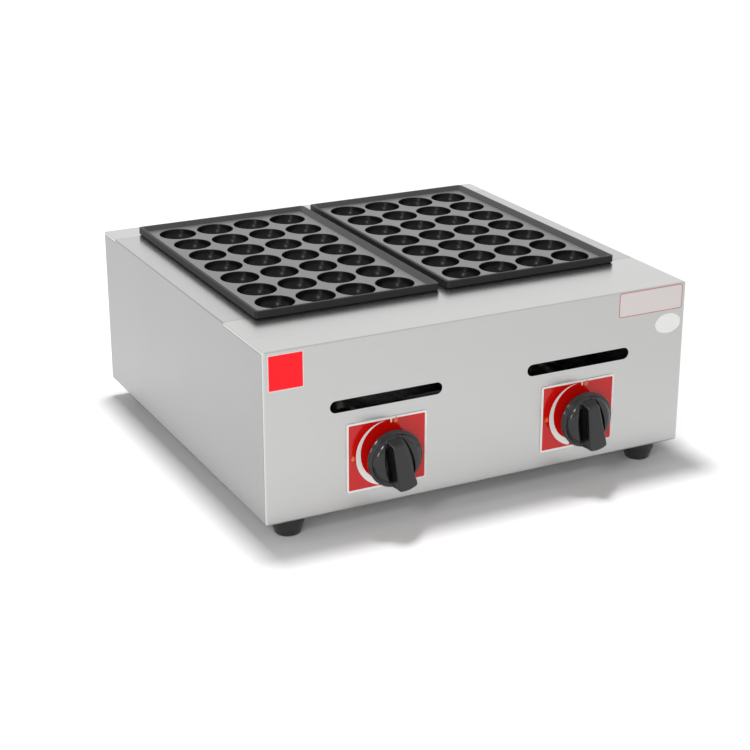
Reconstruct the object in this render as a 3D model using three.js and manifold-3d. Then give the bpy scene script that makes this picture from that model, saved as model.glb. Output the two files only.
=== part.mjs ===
// Countertop gas takoyaki maker with two lift-off plates, as the separate pieces it is put together from.
// Millimetres, +Z up, the front looks towards -Y. The origin lies on the table, under the middle of the
// whole outline, which runs from the faces of the knobs to the tip of the hose tail.

import * as THREE from "three";
import { mergeVertices } from "three/addons/utils/BufferGeometryUtils.js";
import Module from "manifold-3d";

const wasm = await Module();
wasm.setup();

// Overall sizes
const bodyWidth = 470;
const bodyDepth = 443;
const bodyHeight = 174.5;
const footHeight = 22;
const knobReach = 36;
const inletReach = 21;

// Clearances between pieces
const seatGap = 0.3;
const seamGap = 0.4;
const labelGap = 0.1;
const overrun = 5;
const weldTolerance = 1e-4;

// Folded sheet
const sheetThickness = 1;
const bendRadius = 2;
const cornerReturn = 3;
const frontStripDepth = 95;
const rearStripDepth = 37.4;
const sideStripWidth = 39.5;
const bottomFlange = 50;
const sideFlange = 20;
const lipDrop = 10;

// Flame slots in the front, and how far they lie outward of the middles of the plates
const slotLength = 120;
const slotHeight = 12.3;
const slotOutward = 3.6;
const slotZ = 108.3;

// Air slots in the back and in the base
const ventLength = 58;
const ventHeight = 5;
const ventPitch = 16;
const ventRows = 3;
const ventZ = 112;
const airSlotWidth = 14;
const airSlotRows = 4;
const airSlotSideMargin = 25.2;
const airSlotEndMargin = 86.4;
const baseClear = 2.6;

// Plates. They fill the opening in the deck and rest on its edges.
const plateGap = 8.4;
const plateRest = 9.1;
const plateCorner = 4;
const plateChamfer = 1.4;
const plateEdge = 0.6;
const rimHeight = 8.5;
const faceHeight = 4.2;
const rimTopWidth = 3.2;
const rimSlope = 4.6;
const trayCorner = 3;
const wellColumns = 4;
const wellRows = 7;
const wellSideMargin = 34.2;
const wellEndMargin = 32.4;
const wellRadiusShare = 0.45;
const wellDepthShare = 0.96;
const wellWall = 2.2;
const cupShares = [[0, 1], [0.75, 0.69], [1, 0]];

// Centre rail under the gap between the plates
const railThickness = 1.2;
const railDrop = 18;

// Knobs, on the axes of the valves, a little outward of the middles of the plates
const knobOutward = 3.9;
const knobHeight = 52.5;
const knobHubRadius = 9;
const knobHubReach = 6;
const knobSkirtRadius = 28.8;
const knobSkirtReach = 21.5;
const knobBackRadius = 25.4;
const knobBackReach = 13.5;
const knobWall = 1.9;
const knobWebReach = 17;
const knobDomeReach = 28;
const knobDomeAngles = [25, 50, 70];
const gripTopWidth = 12.6;
const gripBottomWidth = 20.5;
const gripTopReach = 23;
const gripBottomReach = 28.6;
const gripFlare = 1.6;
const gripEdge = 1.2;
const gripCorner = 2.4;
const scoopRadius = 5.2;
const scoopReach = 26.4;
const scoopLength = 48;
const leftKnobAngle = 13;
const rightKnobAngle = 10;

// Dial plates
const dialWidth = 86;
const dialHeight = 71;
const dialThickness = 1;
const dialCorner = 2.5;
const dialZ = 53;
const spindleHole = 7;

// Valve spindles, washers and springs
const spindleRadius = 4;
const spindleFlat = 1;
const spindleInKnob = 15;
const spindleInValve = 20;
const spindleFit = 0.3;
const collarRadius = 6.4;
const collarThickness = 1.2;
const washerRadius = 7.4;
const washerThickness = 1;
const springLength = 9.7;
const springRadius = 5.6;
const springWire = 0.55;
const springTurns = 3;
const pushTravel = 4;

// Gas valves, with a bonnet over the spring
const bonnetClear = 1.9;
const bonnetWall = 1.2;
const bonnetFit = 0.6;
const bonnetRim = 3;
const flangeWidth = 34;
const flangeHeight = 26;
const flangeThickness = 3;
const barrelRadius = 11;
const barrelLength = 27;
const legRadius = 8;
const saddleWidth = 16;
const saddleOverhang = 9.5;
const saddleHeight = 10;
const clampThickness = 2.5;
const clampScrewRadius = 2;
const clampScrewHeadRadius = 3.8;
const clampScrewHeadHeight = 3;
const clampScrewFit = 0.3;
const jetHexRadius = 6;
const jetHexLength = 6;
const jetTipRadius = 3.4;
const jetLength = 15;

// Gas rail and its inlet at the back
const pipeRadius = 8;
const pipeWall = 1.6;
const pipeDrop = 30;
const pipeBack = 32.5;
const pipeLeftEnd = 40;
const pipeBend = 28;
const inletFromSide = 35;
const tailHexRadius = 10;
const tailHexLength = 8;
const tailThreadRadius = 7;
const tailBarbRadius = 5.2;
const tailBarbNeck = 4.2;
const tailBore = 2.8;
const tailBarbs = 2;
const tailBarbLength = 5;
const tailHoleFit = 0.5;
const lockNutRadius = 11;
const lockNutThickness = 5;

// Burners, with a flame pipe under each gap between two columns of wells
const flamePipeRadius = 11;
const flamePipeBack = 77;
const burnerWall = 1.5;
const headerRadius = 13;
const headerOverhang = 5;
const headerBack = 130;
const burnerBelowDeck = 88.5;
const mixerRadius = 12;
const mixerStraight = 30;
const mixerBend = 18;
const mixerFront = 54;
const mixerWindowLength = 14;
const mixerWindowWidth = 12;
const portLength = 7.6;
const portWidth = 2.4;
const portCount = 5;
const portMargin = 16;

// Air shutters, sleeves on the mixing tubes
const shutterFit = 0.7;
const shutterWall = 1.2;
const shutterLength = 24;
const shutterFront = 58;
const shutterTabLength = 9;
const shutterTabWidth = 6;
const shutterTabThickness = 1.5;

// Bars under the burners
const barLeg = 20;
const barThickness = 1.5;
const frontBarFromHeader = 42;
const rearBarFromEnd = 26;

// Igniters, electrodes and their leads
const igniterWidth = 16;
const igniterLength = 24;
const igniterHeight = 18;
const igniterStart = 2;
const electrodeRadius = 3.4;
const electrodeBelow = 22;
const electrodeAbove = 4;
const electrodeCollar = 5.2;
const electrodeCollarHeight = 3;
const electrodeBack = 8;
const electrodePin = 0.9;
const electrodePinRise = 9;
const electrodePinReach = 6;
const holderWidth = 14;
const holderThickness = 1;
const holderFront = 2;
const holderRear = 6;
const leadRadius = 1.6;
const leadBend = 6;
const leadDrop = 12;
const leadForward = 62;
const leadRise = 8;

// Feet, their screws and nuts
const footFromSide = 32;
const footInset = 24;
const footTopRadius = 17;
const footBottomRadius = 13;
const footShoulder = 8;
const footEdge = 3;
const footRecessRadius = 6.4;
const footRecessDepth = 9;
const footScrewRadius = 2.5;
const footScrewFit = 0.4;
const footScrewHeadRadius = 5;
const footScrewHeadHeight = 3.6;
const footNutRadius = 4.8;
const footNutHeight = 4;
const footScrewEnd = 1.5;

// How finely round forms are cut
const bendSteps = 2;
const cornerSteps = 3;
const wellSegments = 10;
const cupSegments = 8;
const bowlSteps = 3;
const knobSegments = 20;
const turnedSegments = 10;
const pipeSegments = 8;
const wireSegments = 5;
const uprightShare = 0.9;
const hexSegments = 6;

// Sizes that follow from the ones above
const plateWidth = (bodyWidth - plateGap) / 2 - sideStripWidth + plateRest;
const plateLength = bodyDepth - frontStripDepth - rearStripDepth + 2 * plateRest;
const columnPitch = (plateWidth - 2 * wellSideMargin) / (wellColumns - 1);
const rowPitch = (plateLength - 2 * wellEndMargin) / (wellRows - 1);
const wellRadius = wellRadiusShare * Math.min(columnPitch, rowPitch);
const wellDepth = wellDepthShare * wellRadius;
const airSlotLength = plateWidth - 2 * airSlotSideMargin;
const airSlotPitch = (plateLength - 2 * airSlotEndMargin) / (airSlotRows - 1);

// Places that follow from the sizes above
const halfWidth = bodyWidth / 2;
const frontY = (knobReach - bodyDepth - inletReach) / 2;
const rearY = frontY + bodyDepth;
const baseZ = footHeight;
const deckZ = baseZ + bodyHeight;
const knobZ = baseZ + knobHeight;
const frontSeamY = frontY + frontStripDepth;
const rearSeamY = rearY - rearStripDepth;
const openingHalf = halfWidth - sideStripWidth;
const plateFrontY = frontSeamY - plateRest;
const plateRearY = rearSeamY + plateRest;
const plateX = (plateGap + plateWidth) / 2;
const plateY = (plateFrontY + plateRearY) / 2;
const knobX = plateX + knobOutward;
const slotX = plateX + slotOutward;
const inletX = halfWidth - inletFromSide;
const footX = halfWidth - footFromSide;
const insideHalf = halfWidth - sheetThickness;
const basePlateZ = baseZ + sheetThickness + seatGap;
const burnerZ = deckZ - burnerBelowDeck;
const headerY = frontY + headerBack;
const flamePipeEndY = rearY - flamePipeBack;
const barTopZ = burnerZ - flamePipeRadius * Math.cos(Math.PI / pipeSegments) - seatGap;
const bonnetFrontY = frontY + sheetThickness + bonnetClear;
const collarY = bonnetFrontY + bonnetWall + seatGap;
const washerY = collarY + collarThickness + seatGap;
const springY = washerY + washerThickness + seatGap;
const valveFrontY = springY + springLength + seatGap;
const valveEndY = valveFrontY + flangeThickness + barrelLength;
const pipeY = frontY + pipeBack;
const pipeZ = knobZ - pipeDrop;
const clampLowZ = pipeZ - pipeRadius - seatGap - clampThickness;
const clampScrewY = pipeRadius + saddleOverhang / 2;
const tailStartY = rearY - sheetThickness - seatGap - tailHexLength;

// A closed three.js geometry as a solid that can be joined and cut.
function solidOf(geometry) {
  const bare = geometry.clone();
  bare.deleteAttribute("normal");
  bare.deleteAttribute("uv");
  const merged = mergeVertices(bare, weldTolerance);
  const corners = merged.index.array;
  const faces = [];
  for (let i = 0; i < corners.length; i += 3) {
    const [a, b, c] = corners.subarray(i, i + 3);
    if (a !== b && b !== c && c !== a) faces.push(a, b, c);
  }
  const build = (triVerts) => {
    const vertProperties = merged.attributes.position.array;
    return new wasm.Manifold(new wasm.Mesh({ numProp: 3, vertProperties, triVerts }));
  };
  const made = build(new Uint32Array(faces));
  return made.volume() > 0 ? made : build(new Uint32Array(faces.reverse()));
}

// A solid back as a geometry that a mesh can hold.
function geometryOf(solid) {
  const { vertProperties, triVerts } = solid.getMesh();
  const geometry = new THREE.BufferGeometry();
  geometry.setAttribute("position", new THREE.BufferAttribute(vertProperties, 3));
  geometry.setIndex(new THREE.BufferAttribute(triVerts, 1));
  geometry.computeVertexNormals();
  return geometry;
}

function join(...solids) {
  return solids.reduce((whole, solid) => whole.add(solid));
}

function cut(solid, ...cutters) {
  return cutters.reduce((rest, cutter) => rest.subtract(cutter), solid);
}

function block([x0, x1], [y0, y1], [z0, z1]) {
  const geometry = new THREE.BoxGeometry(x1 - x0, y1 - y0, z1 - z0);
  geometry.translate((x0 + x1) / 2, (y0 + y1) / 2, (z0 + z1) / 2);
  return solidOf(geometry);
}

// An outline of corners [u, v, radius], with each corner that has a radius rounded off.
function outline(corners, steps = cornerSteps) {
  const points = [];
  corners.forEach(([u, v, radius = 0], i) => {
    const corner = new THREE.Vector2(u, v);
    if (!radius) {
      points.push(corner);
      return;
    }
    const [beforeU, beforeV] = corners[(i + corners.length - 1) % corners.length];
    const [afterU, afterV] = corners[(i + 1) % corners.length];
    const back = new THREE.Vector2(beforeU, beforeV).sub(corner).normalize();
    const ahead = new THREE.Vector2(afterU, afterV).sub(corner).normalize();
    const half = Math.acos(THREE.MathUtils.clamp(back.dot(ahead), -1, 1)) / 2;
    const centre = back.clone().add(ahead).setLength(radius / Math.sin(half)).add(corner);
    const from = back.clone().multiplyScalar(radius / Math.tan(half)).add(corner).sub(centre);
    const to = ahead.clone().multiplyScalar(radius / Math.tan(half)).add(corner).sub(centre);
    const turn = Math.atan2(from.cross(to), from.dot(to));
    for (let k = 0; k <= steps; k++) {
      points.push(from.clone().rotateAround(new THREE.Vector2(), (turn * k) / steps).add(centre));
    }
  });
  const apart = points.filter((p, i) => p.distanceTo(points.at(i - 1)) > weldTolerance);
  return apart.map((p) => [p.x, p.y]);
}

function roundedRectangle([u0, u1], [v0, v1], radius, steps = cornerSteps) {
  return outline([[u0, v0, radius], [u1, v0, radius], [u1, v1, radius], [u0, v1, radius]], steps);
}

// A slot with round ends, its middle at (u, v) and its length along u.
function slotOutline(u, v, length, height) {
  return roundedRectangle([u - length / 2, u + length / 2], [v - height / 2, v + height / 2], height / 2);
}

// The section of a folded sheet. The path runs along its outside, and the sheet lies to its left.
function foldedSection(path, thickness) {
  const directions = path.slice(1).map(([u, v], i) => {
    const [beforeU, beforeV] = path[i];
    return new THREE.Vector2(u - beforeU, v - beforeV).normalize();
  });
  const normals = directions.map((d) => new THREE.Vector2(-d.y, d.x));
  const last = path.length - 1;
  const outside = path.map(([u, v], i) => [u, v, i > 0 && i < last ? bendRadius : 0]);
  const inside = path.map(([u, v], i) => {
    const before = normals[Math.max(i - 1, 0)];
    const after = normals[Math.min(i, last - 1)];
    const shift = before.clone().add(after).multiplyScalar(thickness / (1 + before.dot(after)));
    return [u + shift.x, v + shift.y, i > 0 && i < last ? bendRadius - thickness : 0];
  });
  return outline([...outside, ...inside.reverse()], bendSteps);
}

// An outline pushed along an axis: x takes (y, z), y takes (x, z) and z takes (x, y).
function prism(axis, points, [from, to]) {
  const shape = new THREE.Shape(points.map(([u, v]) => new THREE.Vector2(u, v)));
  const geometry = new THREE.ExtrudeGeometry(shape, { depth: to - from, bevelEnabled: false });
  const x = new THREE.Vector3(1, 0, 0);
  const y = new THREE.Vector3(0, 1, 0);
  const z = new THREE.Vector3(0, 0, 1);
  const turned = new THREE.Matrix4();
  if (axis === "x") turned.makeBasis(y, z, x).setPosition(from, 0, 0);
  if (axis === "y") turned.makeBasis(x, z, y.negate()).setPosition(0, to, 0);
  if (axis === "z") turned.setPosition(0, 0, from);
  return solidOf(geometry.applyMatrix4(turned));
}

// A profile of [radius, height along the axis] turned about an axis through the centre, its flats square on.
function turned(axis, profile, [x, y, z], segments) {
  const points = profile.map(([radius, height]) => new THREE.Vector2(radius, height));
  const geometry = new THREE.LatheGeometry(points, segments, Math.PI / segments);
  if (axis === "z") geometry.rotateX(Math.PI / 2);
  if (axis === "x") geometry.rotateZ(-Math.PI / 2);
  return solidOf(geometry.translate(x, y, z));
}

function rod(axis, radius, [from, to], centre, segments) {
  return turned(axis, [[0, from], [radius, from], [radius, to], [0, to]], centre, segments);
}

function ring(axis, inner, outer, [from, to], centre, segments) {
  const profile = [[inner, from], [outer, from], [outer, to], [inner, to], [inner, from]];
  return turned(axis, profile, centre, segments);
}

// A solid through a row of matching outlines. place(k, u, v) is where point (u, v) of outline k lies.
function loft(outlines, place) {
  const size = outlines[0].length;
  const positions = outlines.flatMap((points, k) => points.flatMap(([u, v]) => place(k, u, v)));
  const index = [];
  for (let k = 0; k + 1 < outlines.length; k++) {
    for (let i = 0; i < size; i++) {
      const a = k * size + i;
      const b = k * size + ((i + 1) % size);
      index.push(a, b, b + size, a, b + size, a + size);
    }
  }
  const signedArea = (points) => THREE.ShapeUtils.area(points.map(([u, v]) => ({ x: u, y: v })));
  const cap = (points, first, flip) => {
    const contour = points.map(([u, v]) => new THREE.Vector2(u, v));
    THREE.ShapeUtils.triangulateShape(contour, []).forEach((face) => {
      const same = signedArea(face.map((i) => points[i])) * signedArea(points) > 0;
      const ordered = same === flip ? [...face].reverse() : face;
      index.push(...ordered.map((i) => first + i));
    });
  };
  cap(outlines[0], 0, true);
  cap(outlines.at(-1), (outlines.length - 1) * size, false);
  const geometry = new THREE.BufferGeometry();
  geometry.setAttribute("position", new THREE.Float32BufferAttribute(positions, 3));
  geometry.setIndex(index);
  return solidOf(geometry);
}

function circle(radius, segments) {
  return Array.from({ length: segments }, (_, i) => {
    const angle = ((i + 1 / 2) * 2 * Math.PI) / segments;
    return [radius * Math.cos(angle), radius * Math.sin(angle)];
  });
}

// A section carried along a line of points, square to the line all the way.
function sweep(line, section) {
  const last = line.length - 1;
  const tangents = line.map((_, i) => {
    const ahead = line[Math.min(i + 1, last)];
    return ahead.clone().sub(line[Math.max(i - 1, 0)]).normalize();
  });
  const upright = Math.abs(tangents[0].z) > uprightShare;
  const reference = upright ? new THREE.Vector3(1, 0, 0) : new THREE.Vector3(0, 0, 1);
  let side = reference.cross(tangents[0]).normalize();
  const frames = tangents.map((tangent) => {
    side = side.clone().addScaledVector(tangent, -side.dot(tangent)).normalize();
    return [side, tangent.clone().cross(side)];
  });
  return loft(line.map(() => section), (k, u, v) => {
    const [across, up] = frames[k];
    return line[k].clone().addScaledVector(across, u).addScaledVector(up, v).toArray();
  });
}

// A line through corners in space, with each inner corner rounded to a bend.
function bentLine(corners, radius, steps) {
  const at = corners.map((corner) => new THREE.Vector3(...corner));
  const points = [at[0]];
  for (let i = 1; i + 1 < at.length; i++) {
    const back = at[i - 1].clone().sub(at[i]).normalize();
    const ahead = at[i + 1].clone().sub(at[i]).normalize();
    const half = back.angleTo(ahead) / 2;
    const reach = radius / Math.tan(half);
    const from = back.clone().multiplyScalar(reach).add(at[i]);
    const to = ahead.clone().multiplyScalar(reach).add(at[i]);
    const centre = back.clone().add(ahead).setLength(radius / Math.sin(half)).add(at[i]);
    const axis = from.clone().sub(centre).cross(to.clone().sub(centre)).normalize();
    for (let k = 0; k <= steps; k++) {
      const angle = ((Math.PI - 2 * half) * k) / steps;
      points.push(from.clone().sub(centre).applyAxisAngle(axis, angle).add(centre));
    }
  }
  points.push(at.at(-1));
  return points;
}

// The folded end of the box: the face, its strip of the deck, its bottom flange and the corner returns.
// It is made in the place of the front panel, and the rear panel is the same form turned round.
function foldedEnd(outerY, stripDepth, openHalf) {
  const rear = outerY + Math.max(stripDepth, bottomFlange) + overrun;
  const shell = (inset) => {
    const radius = bendRadius - inset;
    const half = halfWidth - inset;
    const y = outerY + inset;
    const low = baseZ + inset;
    const high = deckZ - inset;
    const side = outline([[rear, low], [y, low, radius], [y, high, radius], [rear, high]], bendSteps);
    const plan = outline([[half, rear], [-half, rear], [-half, y, radius], [half, y, radius]], bendSteps);
    const top = [[half, high, radius], [-half, high, radius]];
    const front = outline([[-half, low], [half, low], ...top], bendSteps);
    const along = [-halfWidth - overrun, halfWidth + overrun];
    const whole = prism("x", side, along);
    return whole.intersect(prism("z", plan, [low, high])).intersect(prism("y", front, [y, rear]));
  };
  const behind = [outerY + cornerReturn, rear + overrun];
  const fullWidth = [-halfWidth - overrun, halfWidth + overrun];
  const underStrip = deckZ - cornerReturn;
  const between = halfWidth - bendRadius - seamGap;
  const hollow = shell(sheetThickness);
  const openBack = block([-insideHalf, insideHalf], [rear - overrun, rear + overrun],
    [baseZ + sheetThickness, deckZ - sheetThickness]);
  const pastStrip = block(fullWidth, [outerY + stripDepth, rear + overrun],
    [underStrip - overrun, deckZ + overrun]);
  const pastFlange = block(fullWidth, [outerY + bottomFlange, rear + overrun],
    [baseZ - overrun, underStrip]);
  const leftSide = block([-halfWidth - overrun, -between], behind, [baseZ - overrun, underStrip]);
  const rightSide = block([between, halfWidth + overrun], behind, [baseZ - overrun, underStrip]);
  const lip = block([-openHalf, openHalf], [outerY + stripDepth - sheetThickness, outerY + stripDepth],
    [deckZ - lipDrop, deckZ - sheetThickness / 2]);
  return cut(shell(0), hollow, openBack, pastStrip, pastFlange, leftSide, rightSide).add(lip);
}

function footHoles(y) {
  const through = [baseZ - overrun, basePlateZ + overrun];
  return [-footX, footX].map((x) =>
    rod("z", footScrewRadius + footScrewFit, through, [x, y, 0], pipeSegments));
}

function frontPanel() {
  const through = [frontY - overrun, frontY + overrun];
  const cutters = [-1, 1].flatMap((side) => [
    prism("y", slotOutline(side * slotX, baseZ + slotZ, slotLength, slotHeight), through),
    rod("y", spindleHole, through, [side * knobX, 0, knobZ], pipeSegments),
  ]);
  const panel = foldedEnd(frontY, frontStripDepth, openingHalf - seamGap);
  return cut(panel, ...cutters, ...footHoles(frontY + footInset));
}

function rearPanel() {
  const through = [rearY - overrun, rearY + overrun];
  const vents = [];
  for (const side of [-1, 1]) {
    for (let row = 0; row < ventRows; row++) {
      const z = baseZ + ventZ + (row - (ventRows - 1) / 2) * ventPitch;
      vents.push(prism("y", slotOutline(side * slotX, z, ventLength, ventHeight), through));
    }
  }
  const inlet = rod("y", tailThreadRadius + tailHoleFit, through, [inletX, 0, pipeZ], pipeSegments);
  const panel = foldedEnd(-rearY, rearStripDepth, openingHalf - seamGap);
  const turnedRound = solidOf(geometryOf(panel).rotateZ(Math.PI));
  return cut(turnedRound, inlet, ...vents, ...footHoles(rearY - footInset));
}

// side is -1 on the left and 1 on the right.
function sidePanel(side) {
  const path = [
    [openingHalf, deckZ - lipDrop],
    [openingHalf, deckZ],
    [halfWidth, deckZ],
    [halfWidth, baseZ],
    [halfWidth - sideFlange, baseZ],
  ];
  const section = foldedSection(path.reverse(), sheetThickness);
  const length = [frontY + cornerReturn + seamGap, rearY - cornerReturn - seamGap];
  const across = [0, halfWidth + overrun];
  const underStrip = deckZ - cornerReturn - seamGap;
  const cutters = [
    block(across, [frontY, frontSeamY + seamGap], [underStrip, deckZ + overrun]),
    block(across, [rearSeamY - seamGap, rearY], [underStrip, deckZ + overrun]),
    block([0, openingHalf + bendRadius], [frontY, frontSeamY + seamGap], [deckZ - lipDrop - overrun, deckZ]),
    block([0, openingHalf + bendRadius], [rearSeamY - seamGap, rearY], [deckZ - lipDrop - overrun, deckZ]),
    block([0, halfWidth - bendRadius], [frontY, frontY + bottomFlange + seamGap],
      [baseZ - overrun, baseZ + bendRadius]),
    block([0, halfWidth - bendRadius], [rearY - bottomFlange - seamGap, rearY],
      [baseZ - overrun, baseZ + bendRadius]),
  ];
  const panel = cut(prism("y", section, length), ...cutters);
  return side > 0 ? panel : mirrored(panel);
}

// The same solid on the other side of the middle plane.
function mirrored(solid) {
  return solidOf(geometryOf(solid).scale(-1, 1, 1));
}

function basePlate() {
  const half = insideHalf - baseClear;
  const toWalls = sheetThickness + baseClear;
  const sheet = block([-half, half], [frontY + toWalls, rearY - toWalls],
    [basePlateZ, basePlateZ + sheetThickness]);
  const slots = [];
  for (const side of [-1, 1]) {
    for (let row = 0; row < airSlotRows; row++) {
      const y = plateY + (row - (airSlotRows - 1) / 2) * airSlotPitch;
      slots.push(block([side * plateX - airSlotLength / 2, side * plateX + airSlotLength / 2],
        [y - airSlotWidth / 2, y + airSlotWidth / 2], [basePlateZ - overrun, basePlateZ + overrun]));
    }
  }
  return cut(sheet, ...slots, ...footHoles(frontY + footInset), ...footHoles(rearY - footInset));
}

function centreRail() {
  const half = plateGap / 2 + plateRest;
  const path = [[-half, deckZ - railDrop], [-half, deckZ], [half, deckZ], [half, deckZ - railDrop]];
  const section = foldedSection(path.reverse(), railThickness);
  return prism("y", section, [frontSeamY + seamGap, rearSeamY - seamGap]);
}

// Half of a well as a profile: from its deepest point on the axis out to its mouth.
function wellProfile() {
  return Array.from({ length: bowlSteps + 1 }, (_, i) => {
    const angle = (Math.PI / 2) * (i / bowlSteps);
    return [wellRadius * Math.sin(angle), -wellDepth * Math.cos(angle)];
  });
}

// The casting: a rim round a flat face, bowl-shaped wells in the face and their cups underneath.
function plate(side) {
  const x = side * plateX;
  const bottom = deckZ + seatGap;
  const face = deckZ + faceHeight;
  const top = deckZ + rimHeight;
  const skin = face - bottom;
  const rectangle = (inset, radius) => roundedRectangle(
    [x - plateWidth / 2 + inset, x + plateWidth / 2 - inset],
    [plateFrontY + inset, plateRearY - inset], radius);
  const stack = (levels) => loft(levels.map(([inset, radius]) => rectangle(inset, radius)),
    (k, u, v) => [u, v, levels[k][2]]);
  const slab = stack([
    [plateChamfer, plateCorner, bottom],
    [0, plateCorner, bottom + plateChamfer],
    [0, plateCorner, top - plateEdge],
    [plateEdge, plateCorner, top],
  ]);
  const tray = stack([
    [rimTopWidth + rimSlope, trayCorner, face],
    [rimTopWidth, trayCorner, top],
    [rimTopWidth, trayCorner, top + overrun],
  ]);
  const cupRadius = (wellRadius + wellWall) / Math.cos(Math.PI / cupSegments);
  const cupDepth = wellDepth + wellWall - skin / 2;
  const cupProfile = cupShares.map(([out, down]) => [out * cupRadius, -down * cupDepth]);
  const cups = [];
  const wells = [];
  for (let column = 0; column < wellColumns; column++) {
    for (let row = 0; row < wellRows; row++) {
      const wellX = x + (column - (wellColumns - 1) / 2) * columnPitch;
      const wellY = plateY + (row - (wellRows - 1) / 2) * rowPitch;
      const well = [...wellProfile(), [wellRadius, overrun], [0, overrun]];
      cups.push(turned("z", [...cupProfile, [0, 0]], [wellX, wellY, face - skin / 2], cupSegments));
      wells.push(turned("z", well, [wellX, wellY, face], wellSegments));
    }
  }
  return cut(join(cut(slab, tray), ...cups), ...wells);
}

// A knob about its own axis, with the panel at y = 0 and the grip bar upright.
function knob() {
  const skirt = [
    [0, -knobHubReach],
    [knobHubRadius, -knobHubReach],
    [knobHubRadius, -knobWebReach],
    [knobBackRadius - knobWall, -knobWebReach],
    [knobBackRadius - knobWall, -knobBackReach],
    [knobBackRadius, -knobBackReach],
    [knobSkirtRadius, -knobSkirtReach],
  ];
  const domeRise = knobDomeReach - knobSkirtReach;
  const dome = knobDomeAngles.map((degrees) => {
    const angle = THREE.MathUtils.degToRad(degrees);
    return [knobSkirtRadius * Math.cos(angle), -(knobSkirtReach + domeRise * Math.sin(angle))];
  });
  const body = turned("y", [...skirt, ...dome, [0, -knobDomeReach]], [0, 0, 0], knobSegments);

  const bar = (inset) => {
    const top = gripTopReach - inset;
    const bottom = -gripBottomReach + inset;
    const shoulder = bottom * Math.cos(Math.asin(gripBottomWidth / 2 / gripBottomReach));
    const topHalf = gripTopWidth / 2 - inset;
    const bottomHalf = gripBottomWidth / 2 - inset;
    return outline([
      [-topHalf, top, gripCorner],
      [-bottomHalf, shoulder, gripCorner],
      [0, bottom, gripBottomReach],
      [bottomHalf, shoulder, gripCorner],
      [topHalf, top, gripCorner],
    ], bendSteps);
  };
  const levels = [
    [-gripFlare, knobSkirtReach],
    [0, knobDomeReach + gripFlare],
    [0, knobReach - gripEdge],
    [gripEdge, knobReach],
  ];
  const grip = loft(levels.map(([inset]) => bar(inset)), (k, u, v) => [u, -levels[k][1], v]);

  const scoopX = (gripTopWidth + gripBottomWidth) / 4 + gripFlare + scoopRadius;
  const lean = (gripBottomWidth - gripTopWidth) / 4;
  const scoops = [-1, 1].map((side) => {
    const line = [
      [side * (scoopX - lean), -scoopReach, scoopLength / 2],
      [side * scoopX, -scoopReach, 0],
      [side * (scoopX + lean), -scoopReach, -scoopLength / 2],
    ];
    const raised = line.map(([x, y, z]) => new THREE.Vector3(x, y - scoopRadius, z));
    return sweep(raised, circle(scoopRadius, pipeSegments));
  });
  const bore = boreOfKnob();
  return cut(join(cut(body, ...scoops), grip), bore);
}

// The hole that the flatted end of the spindle fits in.
function boreOfKnob() {
  const end = knobHubReach + spindleInKnob + spindleFit;
  return flatted(spindleRadius + spindleFit, spindleFlat, [-end, 0]);
}

// A round bar along y with a flat on top.
function flatted(radius, flat, [from, to]) {
  const bar = rod("y", radius, [from, to], [0, 0, 0], turnedSegments);
  const off = block([-radius, radius], [from - overrun, to + overrun], [radius - flat, radius + overrun]);
  return cut(bar, off);
}

function dialPlate(side) {
  const x = side * knobX;
  const z = baseZ + dialZ;
  const front = frontY - labelGap - dialThickness;
  const across = [x - dialWidth / 2, x + dialWidth / 2];
  const face = roundedRectangle(across, [z - dialHeight / 2, z + dialHeight / 2], dialCorner);
  const sheet = prism("y", face, [front, frontY - labelGap]);
  return cut(sheet, rod("y", spindleHole, [front - overrun, frontY], [x, 0, knobZ], pipeSegments));
}

// A spindle about its own axis, with the panel's outside at y = 0.
function spindle() {
  const back = valveFrontY - frontY + spindleInValve;
  const collar = collarY - frontY;
  const shaft = flatted(spindleRadius, spindleFlat, [-knobHubReach - spindleInKnob, back]);
  return shaft.add(rod("y", collarRadius, [collar, collar + collarThickness], [0, 0, 0], turnedSegments));
}

function springWasher() {
  const from = washerY - frontY;
  return ring("y", spindleRadius + spindleFit, washerRadius, [from, from + washerThickness], [0, 0, 0],
    turnedSegments);
}

// A few open turns of wire between the washer and the valve.
function returnSpring() {
  const from = springY - frontY + springWire;
  const to = springY - frontY + springLength - springWire;
  const steps = springTurns * pipeSegments;
  const line = Array.from({ length: steps + 1 }, (_, i) => {
    const angle = (i * 2 * Math.PI) / pipeSegments;
    const y = THREE.MathUtils.lerp(from, to, i / steps);
    return new THREE.Vector3(springRadius * Math.cos(angle), y, springRadius * Math.sin(angle));
  });
  return sweep(line, circle(springWire, wireSegments));
}

// The bonnet: a cup over collar, washer and spring, with its rim on the flange of the valve.
function bonnet() {
  const inner = washerRadius + bonnetFit;
  const outer = inner + bonnetWall;
  const end = valveFrontY - seatGap;
  return turned("y", [
    [spindleRadius + spindleFit, bonnetFrontY],
    [outer, bonnetFrontY],
    [outer, end - bonnetWall],
    [outer + bonnetRim, end - bonnetWall],
    [outer + bonnetRim, end],
    [inner, end],
    [inner, bonnetFrontY + bonnetWall],
    [spindleRadius + spindleFit, bonnetFrontY + bonnetWall],
    [spindleRadius + spindleFit, bonnetFrontY],
  ], [0, 0, knobZ], turnedSegments);
}

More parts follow.
